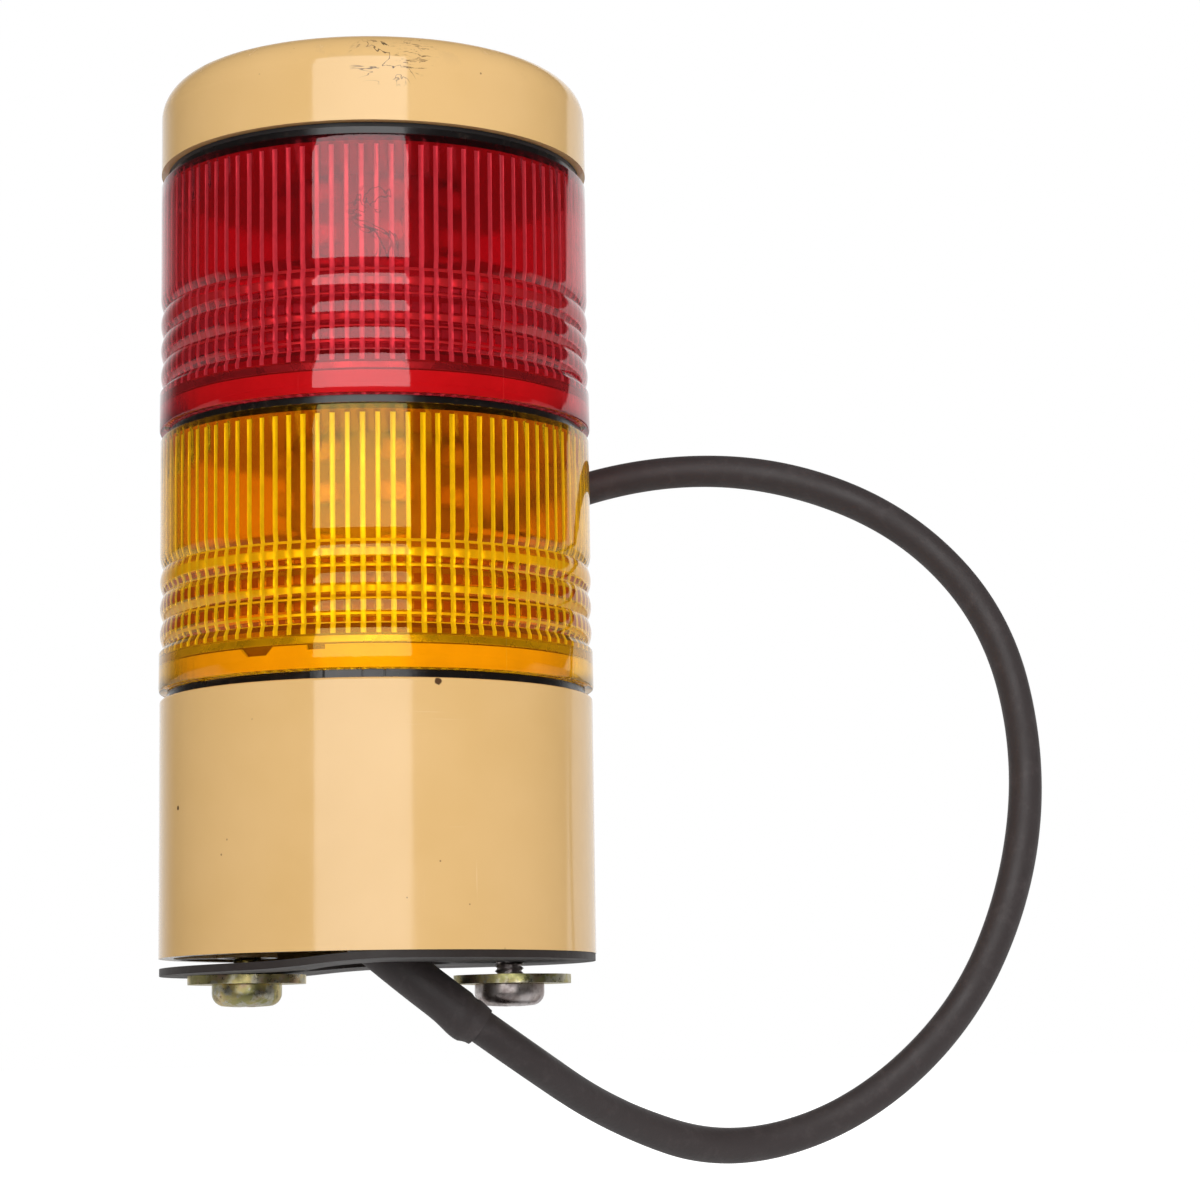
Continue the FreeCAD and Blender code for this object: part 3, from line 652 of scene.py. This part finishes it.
def zinc_material(name, gold, worn, blots, right_worn=0.0):
    """Yellow-passivated zinc: gold, olive and pink patches, worn spots and dark blots."""
    n = material_nodes(name)
    patch = n.noise(210.0, 4.0, 0.6, distortion=0.8)
    base = n.blend(n.spread(patch, 0.38, 0.6), gold, ZINC_OLIVE)
    base = n.blend(n.spread(n.noise(330.0, 3.0, 0.6), 0.52, 0.68, 0.0, 0.7), base, ZINC_PINK)
    base = n.blend(n.spread(n.noise(520.0, 4.0, 0.6), 0.50, 0.60, 0.0, 0.9), base, worn)
    on_right = n.times(n.maths("GREATER_THAN", n.axis(0), 0.0), right_worn)
    steel = n.blend(n.spread(n.noise(330.0, 4.0, 0.6), 0.4, 0.6), WORN_DARK, WORN_BRIGHT)
    base = n.blend(on_right, base, steel)
    dark = n.times(n.spread(n.noise(640.0, 5.0, 0.7), 0.60, 0.66), blots)
    base = n.blend(dark, base, BLOT_BROWN)
    rough = n.mottle(800.0, 4.0, 0.3, 0.7, 0.22, 0.46)
    n.plastic(base, rough, n.bump(n.noise(1500.0, 4.0), 0.04 * MM, 0.5), Metallic=1.0)
    return n.owner


def metal_material(name, base, rough):
    """Bright small metal parts with a little tarnish."""
    n = material_nodes(name)
    shade = n.blend(n.spread(n.noise(500.0, 5.0, 0.6), 0.45, 0.75), base, dimmed(base, 0.55))
    gloss = n.mottle(900.0, 3.0, 0.3, 0.7, rough - 0.08, rough + 0.12)
    n.plastic(shade, gloss, n.bump(n.noise(1800.0, 2.0), 0.02 * MM, 0.3), Metallic=1.0)
    return n.owner


# ---------------------------------------------------------------- materials by slot
LED_DOME = led_material("led_dome", (1.0, 1.0, 0.92), (1.0, 0.96, 0.75), 0.3, 0.35)
MATERIALS = {
    "housing_beige": beige_material("housing_cream", False),
    "cap_beige": beige_material("cap_cream", True),
    "ring_black": ring_material(),
    "seal_black": rubber_material("seal_rubber", (0.008, 0.008, 0.009), 700.0, 0.1),
    "gasket_black": rubber_material("gasket_rubber", (0.020, 0.013, 0.011), 900.0, 0.2),
    "lens_amber": lens_material("lens_amber_outer_face", AMBER_OUTER),
    "lens_red": lens_material("lens_red_outer_face", RED_OUTER, RED_LENS_MARKS),
    "carrier_pale": carrier_material(),
    "holder_grey": moulded_material("holder_plastic", (0.42, 0.31, 0.27)),
    "led_pale": led_material("led_body", (0.66, 0.48, 0.38), (0.58, 0.42, 0.34), 0.35),
    "contact_brass": metal_material("contact_brass_bright", (0.80, 0.58, 0.24), 0.26),
    "screw_zinc": zinc_material("screw_zinc_yellow", (0.72, 0.58, 0.26), (0.62, 0.60, 0.50), 0.55, 0.9),
    "washer_zinc": zinc_material("washer_zinc_yellow", (0.78, 0.64, 0.28), (0.66, 0.62, 0.48), 0.6),
    "small_screw_steel": metal_material("small_screw_zinc", (0.66, 0.66, 0.67), 0.3),
    "board_green": board_material(),
    "clamp_black": moulded_material("clamp_nylon", (0.012, 0.012, 0.013), 0.45),
    "sheath_black": rubber_material("sheath_vinyl", (0.036, 0.027, 0.027), 1500.0, 0.3),
    "sleeve_black": rubber_material("sleeve_vinyl", (0.044, 0.034, 0.034), 1100.0, 0.35),
    "core_white": core_material("core_white_insulation", (0.80, 0.80, 0.77)),
    "core_amber": core_material("core_yellow_insulation", (0.80, 0.55, 0.05)),
    "core_red": core_material("core_red_insulation", (0.62, 0.03, 0.03)),
}


def dress_cad_nodes():
    """Give every CAD node the material of its slot."""
    for entry in frame["record"]["subparts"]:
        node = frame["nodes"][entry["node"]]
        node.data.materials.clear()
        node.data.materials.append(MATERIALS[entry["material_slot"]])


# ---------------------------------------------------------------- mesh helpers
def add_piece(name, data, slot, body):
    """Link a mesh or curve as a piece that rides on a body."""
    piece = bpy.data.objects.new(name, data)
    bpy.context.scene.collection.objects.link(piece)
    data.materials.append(MATERIALS[slot])
    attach(piece, body)
    return piece


def mesh_of(name, points, faces, sharp_above):
    """A smooth-shaded mesh with hard edges above an angle."""
    data = bpy.data.meshes.new(name)
    data.from_pydata(points, [], faces)
    data.validate()
    data.shade_smooth()
    data.set_sharp_from_angle(angle=math.radians(sharp_above))
    return data


def circle(radius, z, turns):
    """A level ring of points about the Z axis."""
    return [(radius * math.cos(a), radius * math.sin(a), z) for a in turns]


def even_turns(sides, first=0.0):
    """Angles evenly round a circle; first is a share of a side."""
    return [2 * math.pi * (step + first) / sides for step in range(sides)]


def skin_faces(rings, first=0, closed=False):
    """The faces between rings of points, all with as many points; first is the first point's number."""
    count = len(rings[0])
    faces = []
    for row in range(len(rings) if closed else len(rings) - 1):
        here, above = first + row * count, first + (row + 1) % len(rings) * count
        for index in range(count):
            after = (index + 1) % count
            faces.append((here + index, here + after, above + after, above + index))
    return faces


def skin_mesh(name, rings, closed, sharp_above):
    """Rings joined into a skin; closed joins the last one to the first."""
    points = [point for ring in rings for point in ring]
    return mesh_of(name, points, skin_faces(rings, 0, closed), sharp_above)


def add_solid(points, faces, rings):
    """Add rings joined into a skin, with a face over each end."""
    first, count = len(points), len(rings[0])
    end = first + (len(rings) - 1) * count
    points += [point for ring in rings for point in ring]
    faces += skin_faces(rings, first)
    faces.append(tuple(range(end, end + count)))
    faces.append(tuple(range(first, first + count))[::-1])


# ---------------------------------------------------------------- lens
def flute_columns():
    """Columns round the lens: angle, the flutes' height there, and what lies between it and the next."""
    wide, narrow = 0.5 * WIDE_FLUTE, 0.5 * NARROW_FLUTE
    spacing = 2 * math.pi * SEAT_BORE / FLUTE_PAIRS
    second = 0.5 * spacing
    pair = (
        (-wide, 0.0, "flute"),
        (-FLUTE_SHOULDER * wide, SHOULDER_RISE * wide, "flute"),
        (0.0, CREST_RISE * wide, "flute"),
        (FLUTE_SHOULDER * wide, SHOULDER_RISE * wide, "flute"),
        (wide, 0.0, "beside"),
        (CELL_REACH, 0.0, "between"),
        (second - narrow, 0.0, "flute"),
        (second - FLUTE_SHOULDER * narrow, SHOULDER_RISE * narrow, "flute"),
        (second + FLUTE_SHOULDER * narrow, SHOULDER_RISE * narrow, "flute"),
        (second + narrow, 0.0, "between"),
        (spacing - CELL_REACH, 0.0, "beside"),
    )
    columns = []
    for index in range(FLUTE_PAIRS):
        for place, rise, part in pair:
            columns.append(((index * spacing + place) / SEAT_BORE + FIRST_FLUTE, rise, part))
    return columns


def lens_outside(height):
    """The outer wall's half outline, from the foot to the top: radius and height."""
    band = TOWER_RADIUS + BAND_PROUD
    valley = TOWER_RADIUS - GROOVE_DEPTH
    nick = 0.3 * LENS_EDGE
    outline = [(band - LENS_EDGE, 0.0), (band - nick, nick), (band, LENS_EDGE)]
    outline += [(band, 0.5 * BAND_HEIGHT), (band, BAND_HEIGHT - 0.1 * MM)]
    outline.append((band - 0.04 * MM, BAND_HEIGHT))
    for index in range(GROOVE_COUNT):
        low = GROOVE_FIRST + index * GROOVE_PITCH
        outline.append((valley, low))
        top = BEAD_STEPS if index < GROOVE_COUNT - 1 else BEAD_STEPS // 2 + 1
        for step in range(1, top):
            share = step / BEAD_STEPS
            bulge = GROOVE_DEPTH * math.sin(math.pi * share) ** BEAD_FULLNESS
            outline.append((valley + bulge, low + share * GROOVE_PITCH))
    start = outline[-1][1]
    for step in range(1, WALL_STEPS + 1):
        outline.append((TOWER_RADIUS, start + (height - LENS_EDGE - start) * step / WALL_STEPS))
    outline.append((TOWER_RADIUS - nick, height - nick))
    outline.append((TOWER_RADIUS - LENS_EDGE, height))
    return outline


def lens_inside(height):
    """The inner wall's levels from the top to the foot.

    Each has its height, the kind of the wall below it, its depth, and the flutes' share there.
    """
    levels = [(height, "wall", 0.0, 0.0), (FLUTE_HIGH, "wall", 0.0, 0.0)]
    for z in (FLUTE_HIGH - FLUTE_RUNOUT, 0.83 * FLUTE_HIGH, 0.66 * FLUTE_HIGH):
        levels.append((z, "wall", 0.0, 1.0))
    for kind, middle, tall in LENS_ROWS:
        top, foot = (middle + 0.5 * tall) * MM, (middle - 0.5 * tall) * MM
        slope = ROW_SLOPE * (top - foot)
        depth = CELL_DEPTH if kind == "cell" else LEDGE_DEPTH
        fluted = 1.0
        if kind == "strip":
            levels += [(FLUTE_LOW + 0.05 * MM, "wall", 0.0, 1.0), (FLUTE_LOW, "wall", 0.0, 0.0)]
            fluted = 0.0
        levels += [(top, kind, 0.0, fluted), (top - slope, kind, depth, fluted)]
        levels += [(foot + slope, kind, depth, fluted), (foot, "wall", 0.0, fluted)]
    levels.append((0.0, "foot", 0.0, 0.0))
    return levels


def inside_slot(kind, part, fluted):
    """Which of the lens's material slots a face of the inner wall takes."""
    if part == "flute" and fluted:
        return FLUTES
    if kind == "cell":
        # Cells beside a wide flute take the painted shade.
        return PAINTED_SHADE_CELLS if part == "beside" else INNER_FACE
    return {"ledge": LEDGES, "strip": STRIP}.get(kind, INNER_FACE)


def lens_rings(columns, levels, low, height):
    """The lens's rings of points, up its outer wall and down its inner one."""
    turns = [angle for angle, _, _ in columns]
    rings = [circle(radius, low + z, turns) for radius, z in lens_outside(height)]
    for z, _, depth, fluted in levels:
        ring = []
        for angle, rise, _ in columns:
            here = SEAT_BORE - max(depth, fluted * rise)
            ring.append((here * math.cos(angle), here * math.sin(angle), low + z))
        rings.append(ring)
    return rings


def make_lens(colour_name):
    """A clear lens with real flutes, ledges, cells and beads, in place of the CAD one."""
    low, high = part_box(colour_name + "_lens")
    height = high.z - low.z
    columns = flute_columns()
    levels = lens_inside(height)
    rings = lens_rings(columns, levels, low.z, height)
    first_inner = len(rings) - len(levels)
    data = skin_mesh(colour_name + "_lens_clear", rings, True, 30.0)
    piece = add_piece(colour_name + "_lens_clear", data, "lens_" + colour_name, colour_name + "_module")
    for material in inner_materials(colour_name, low.z):
        data.materials.append(material)
    for face in data.polygons:
        row, column = divmod(face.index, len(columns))
        if first_inner <= row < len(rings) - 1:
            _, kind, _, fluted = levels[row - first_inner]
            face.material_index = inside_slot(kind, columns[column][2], fluted)
    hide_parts(colour_name + "_lens")


# ---------------------------------------------------------------- LEDs
def led_block():
    """A package's bevelled block, facing +X, as rings of points from its back to its face."""
    rings = []
    for out, inset in ((0.0, 0.0), (LED_THICKNESS - LED_BEVEL, 0.0), (LED_THICKNESS, LED_BEVEL)):
        ring = []
        for angle in even_turns(LED_SIDES, 0.5):
            c, t = math.cos(angle), math.sin(angle)
            reach = 1.0 / max(abs(c), abs(t))
            ring.append((out, c * reach * (LED_WIDTH / 2 - inset), t * reach * (LED_HEIGHT / 2 - inset)))
        rings.append(ring)
    return rings


def led_dome():
    """The cup in the block's face, and the low dome in it, as rings of points."""
    rings = []
    for out, share in LED_DOME_OUTLINE:
        radius = share * LED_CUP_RADIUS
        turns = even_turns(LED_SIDES, 0.5)
        rings.append([(LED_THICKNESS + out * MM, radius * math.cos(a), radius * math.sin(a)) for a in turns])
    return rings


def make_leds(colour_name):
    """All the packages of a module, in rows round the holder."""
    low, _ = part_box(colour_name + "_lens")
    block = led_block()
    package = block + led_dome()
    points, faces = [], []
    for row in range(LED_ROW_COUNT):
        level = low.z + LED_TOP_LEVEL - row * LED_ROW_PITCH
        for turn in even_turns(HOLDER_SIDES):
            angle = HOLDER_FIRST_ANGLE + turn
            place = Matrix.Rotation(angle, 4, "Z") @ Matrix.Translation((HOLDER_APOTHEM, 0.0, level))
            add_solid(points, faces, [[place @ Vector(point) for point in ring] for ring in package])
    data = mesh_of(colour_name + "_led_packages", points, faces, 30.0)
    piece = add_piece(colour_name + "_led_packages", data, "led_pale", colour_name + "_module")
    data.materials.append(LED_DOME)
    package_faces = len(faces) // (LED_ROW_COUNT * HOLDER_SIDES)
    for face in data.polygons:
        if len(block) * LED_SIDES <= face.index % package_faces < package_faces - 1:
            face.material_index = 1
    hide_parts(colour_name + "_leds")


# ---------------------------------------------------------------- mounting screws
def recess_at(x, y):
    """How deep a screw's cross recess is at a place on the head's face, with sloping walls."""
    near_arm = min(abs(x), abs(y))
    along = max(abs(x), abs(y))
    across = (RECESS_WIDTH / 2 - near_arm) / (RECESS_SIDE_SLOPE * RECESS_WIDTH)
    ends = (RECESS_SPAN / 2 - along) / (RECESS_END_SLOPE * RECESS_SPAN)
    return RECESS_DEPTH * clamped(across) * clamped(ends)


def clamped(value):
    return min(1.0, max(0.0, value))


def head_rings(seat, turn):
    """A pan head, from the middle of its face, with the cross recess at a turn, to its seat."""
    turns = even_turns(SCREW_SIDES)
    low = seat - SCREW_HEAD_HEIGHT
    face_radius = SCREW_HEAD_RADIUS - SCREW_HEAD_ROUND
    rings = []
    for step in range(1, HEAD_FACE_STEPS + 1):
        radius = face_radius * step / HEAD_FACE_STEPS
        crown = HEAD_CROWN * (radius / face_radius) ** 2
        ring = []
        for a in turns:
            deep = recess_at(radius * math.cos(a - turn), radius * math.sin(a - turn))
            ring.append((radius * math.cos(a), radius * math.sin(a), low + crown + deep))
        rings.append(ring)
    for step in range(1, HEAD_ROUND_STEPS + 1):
        angle = math.pi / 2 * step / HEAD_ROUND_STEPS
        radius = face_radius + SCREW_HEAD_ROUND * math.sin(angle)
        z = low + HEAD_CROWN + SCREW_HEAD_ROUND * (1.0 - math.cos(angle))
        rings.append(circle(radius, z, turns))
    rings.append(circle(SCREW_HEAD_RADIUS, seat - HEAD_EDGE, turns))
    rings.append(circle(SCREW_HEAD_RADIUS - HEAD_EDGE, seat, turns))
    rings.append(circle(SCREW_RADIUS, seat, turns))
    return rings


def shank_rings(seat):
    """A shank with a cut thread, from the head's seat to its end."""
    steps = int(SCREW_LENGTH / THREAD_PITCH * THREAD_STEPS)
    rings = []
    for step in range(1, steps + 1):
        z = seat + SCREW_LENGTH * step / steps
        ring = []
        for index, a in enumerate(even_turns(SCREW_SIDES)):
            phase = (step / THREAD_STEPS - index / SCREW_SIDES) % 1.0
            flank = abs(2.0 * phase - 1.0)
            radius = SCREW_RADIUS - THREAD_DEPTH * min(1.0, 1.25 * (1.0 - flank))
            ring.append((radius * math.cos(a), radius * math.sin(a), z))
        rings.append(ring)
    return rings


def make_screws():
    """The two mounting screws, with cross recesses and cut threads."""
    points, faces = [], []
    for side, seat, turn in (LEFT_SCREW, RIGHT_SCREW):
        shift = side * SCREW_SPACING / 2
        rings = head_rings(seat, turn) + shank_rings(seat)
        add_solid(points, faces, [[(x + shift, y, z) for x, y, z in ring] for ring in rings])
    data = mesh_of("threaded_screws", points, faces, 32.0)
    piece = add_piece("threaded_screws", data, "screw_zinc", "base")
    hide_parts("mounting_screws")


# ---------------------------------------------------------------- lead
def route_curve(name):
    """The lead's curve: its route's points as the control points of one NURBS spline."""
    data = bpy.data.curves.new(name, "CURVE")
    data.dimensions = "3D"
    spline = data.splines.new("NURBS")
    spline.points.add(len(LEAD_ROUTE) - 1)
    for point, place in zip(spline.points, LEAD_ROUTE):
        point.co = (*(value * MM for value in place), 1.0)
    spline.order_u = 3
    spline.use_endpoint_u = True
    spline.resolution_u = 24
    return data


def route_line():
    """Points along the lead's NURBS curve."""
    bare = bpy.data.objects.new("route", route_curve("route"))
    mesh = bpy.data.meshes.new_from_object(bare)
    line = [v.co.copy() for v in mesh.vertices]
    bpy.data.meshes.remove(mesh)
    bpy.data.curves.remove(bare.data)
    return line


def even_line(line, step):
    """The same line with points a step apart, and the distance along it of each."""
    spaced = [(0.0, line[0].copy())]
    travelled = 0.0
    target = step
    for here, after in zip(line, line[1:]):
        run = (after - here).length
        while run > 0 and travelled + run >= target:
            spaced.append((target, here.lerp(after, (target - travelled) / run)))
            target += step
        travelled += run
    spaced.append((travelled, line[-1].copy()))
    return spaced


def tube_rings(spaced, radius_at, sides):
    """Rings round a line, without twist; radius_at gives a radius for a distance and an angle."""
    rings = []
    side = Vector((0.0, 1.0, 0.0))
    for index, (distance, point) in enumerate(spaced):
        before = spaced[max(index - 1, 0)][1]
        after = spaced[min(index + 1, len(spaced) - 1)][1]
        heading = (after - before).normalized()
        side = (side - heading * side.dot(heading)).normalized()
        other = heading.cross(side)
        ring = []
        for angle in even_turns(sides):
            out = side * math.cos(angle) + other * math.sin(angle)
            ring.append(point + out * radius_at(distance, angle))
        rings.append(ring)
    return rings


def sheath_radius(distance, angle):
    """Nearly round, with slight flats and swells along the lead."""
    flat = 0.045 * math.cos(2 * angle) * math.sin(38.0 * distance + 0.6)
    swell = 0.018 * math.sin(95.0 * distance) + 0.012 * math.sin(173.0 * distance + 1.0)
    return LEAD_RADIUS * (0.985 + flat + swell)


def sleeve_radius(distance, angle):
    """Slack over the lead, then bulging and creased at a slanting fold, and tight at its end."""
    under = 0.5 * (1.0 - math.sin(angle))
    fold = SLEEVE_END - 3.2 * MM + 2.0 * MM * under
    bulge = 0.16 * under * hump(distance - fold + 1.6 * MM, 2.4 * MM)
    crease = 0.10 * hump(distance - fold, 0.5 * MM)
    past = clamped((distance - fold) / (SLEEVE_END - fold))
    slack = (1.0 - past) * SLEEVE_RADIUS + past * 1.03 * LEAD_RADIUS
    return slack * (1.0 + bulge - crease * (1.0 - 0.6 * past))


def hump(off, width):
    """1 at 0, falling off smoothly to both sides."""
    return math.exp(-(off / width) ** 2)


def drawn_in(ring, centre, share):
    """A ring drawn in towards its centre."""
    return [point.lerp(centre, share) for point in ring]


def make_lead():
    """The sheathed lead with its sleeve."""
    line = route_line()
    spaced = even_line(line, LEAD_STEP)
    points, faces = [], []
    add_solid(points, faces, tube_rings(spaced, sheath_radius, LEAD_SIDES))
    lead = add_piece("lead_sheath", mesh_of("lead_sheath", points, faces, 40.0), "sheath_black", "base")
    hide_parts("lead")
    sleeve = make_sleeve(line)


def make_sleeve(line):
    """The heavier sleeve over the lead at its exit, open at both ends."""
    covered = [(d, p) for d, p in even_line(line, SLEEVE_STEP) if SLEEVE_START <= d <= SLEEVE_END]
    outer = tube_rings(covered, sleeve_radius, SLEEVE_SIDES)
    foot = drawn_in(outer[0], covered[0][1], SLEEVE_WALL_SHARE)
    rim = drawn_in(outer[-1], covered[-1][1], SLEEVE_WALL_SHARE)
    data = skin_mesh("lead_outer_sleeve", [foot] + outer + [rim], False, 50.0)
    sleeve = add_piece("lead_outer_sleeve", data, "sleeve_black", "base")
    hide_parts("lead_sleeve")
    return sleeve


# ---------------------------------------------------------------- light and stage
def make_world():
    """A pale room with plain soft light, white to the camera, and dim in front for mirrored rays."""
    world = bpy.data.worlds.new("pale_room")
    bpy.context.scene.world = world
    n = Nodes(world, "ShaderNodeOutputWorld", "Generated")
    x, y, z = (n.axis(index) for index in range(3))
    slanted = n.minus(y, n.times(z, RIGHT_EDGE_SLANT))
    right = n.spread(slanted, *WHITE_FROM_RIGHT, steps="SMOOTHSTEP")
    left = n.spread(y, *WHITE_FROM_LEFT, steps="SMOOTHSTEP")
    on_right = n.maths("GREATER_THAN", x, 0.0)
    white = n.plus(n.times(right, on_right), n.times(left, n.minus(1.0, on_right)))
    mirrored = n.plus(n.times(white, 1.0 - ROOM_FRONT), ROOM_FRONT)
    rays = n.new("ShaderNodeLightPath")
    glossy = n.maths("MAXIMUM", rays.outputs["Is Glossy Ray"], rays.outputs["Is Transmission Ray"])
    lit = n.mix(glossy, room_light(n, ROOM_LIGHT), room_light(n, mirrored))
    n.show(n.mix(rays.outputs["Is Camera Ray"], lit, room_light(n, 1.0)))


def room_light(n, strength):
    """White light of that strength, for the world."""
    shader = n.new("ShaderNodeBackground")
    shader.inputs["Color"].default_value = (1.0, 1.0, 1.0, 1.0)
    n.put(shader.inputs["Strength"], strength)
    return shader.outputs[0]


def make_light(name, place, target, width, height, radiance, mirrored=True):
    """A soft rectangular lamp facing a point, given by its radiance."""
    data = bpy.data.lights.new(name, "AREA")
    data.shape = "RECTANGLE"
    data.size = width
    data.size_y = height
    data.energy = radiance * math.pi * width * height
    lamp = bpy.data.objects.new(name, data)
    lamp.location = place
    lamp.rotation_euler = (Vector(target) - Vector(place)).to_track_quat("-Z", "Y").to_euler()
    lamp.visible_glossy = mirrored
    lamp.visible_transmission = mirrored
    bpy.context.scene.collection.objects.link(lamp)


def make_lights():
    """A tall softbox in front, mirrored as a sharp pale band, and soft fills from the right and behind."""
    make_light("key_softbox", (-0.16, -1.0, 0.44), (-0.16, 0.0, 0.44), 0.95, 1.0, KEY_RADIANCE)
    make_light("right_fill", (1.1, -0.35, 0.25), (0.0, 0.0, 0.05), 0.8, 0.8, FILL_RADIANCE, False)
    make_light("back_fill", (-0.2, 1.2, 0.45), (0.0, 0.0, 0.05), 1.0, 1.0, BACK_RADIANCE, False)


def floor_material():
    """Matte white that glows a little to the camera, and is dim in front for mirrored rays."""
    n = material_nodes("floor_white")
    grain = n.mottle(3.0, 2.0, 0.3, 0.7, 0.78, 0.8)
    shade = n.new("ShaderNodeCombineColor")
    for index in range(3):
        n.link(grain, shade.inputs[index])
    rays = n.new("ShaderNodeLightPath")
    glow = n.new("ShaderNodeEmission")
    n.link(n.times(rays.outputs["Is Camera Ray"], FLOOR_GLOW), glow.inputs["Strength"])
    both = n.new("ShaderNodeAddShader")
    n.link(n.diffuse(shade.outputs[0]), both.inputs[0])
    n.link(glow.outputs[0], both.inputs[1])
    in_front = n.times(n.spread(n.axis(1), -0.1, 0.0, 1.0, 0.0), rays.outputs["Is Glossy Ray"])
    n.show(n.mix(in_front, both.outputs[0], n.diffuse((0.05, 0.05, 0.05))))
    return n.owner


def make_floor(level):
    """A plain pale floor, which keeps the object's shadow."""
    size = FLOOR_SIZE
    corners = [(-size, -size, level), (size, -size, level), (size, size, level), (-size, size, level)]
    data = bpy.data.meshes.new("pale_floor")
    data.from_pydata(corners, [], [(0, 1, 2, 3)])
    data.materials.append(floor_material())
    floor = bpy.data.objects.new("pale_floor", data)
    bpy.context.scene.collection.objects.link(floor)


make_camera()
make_world()
make_lights()
dress_cad_nodes()
make_lead()
for colour_name in ("amber", "red"):
    make_lens(colour_name)
    make_leds(colour_name)
make_screws()
make_floor(cad_bounds[0].z - FLOOR_DROP)

bpy.context.scene.view_settings.view_transform = "Standard"
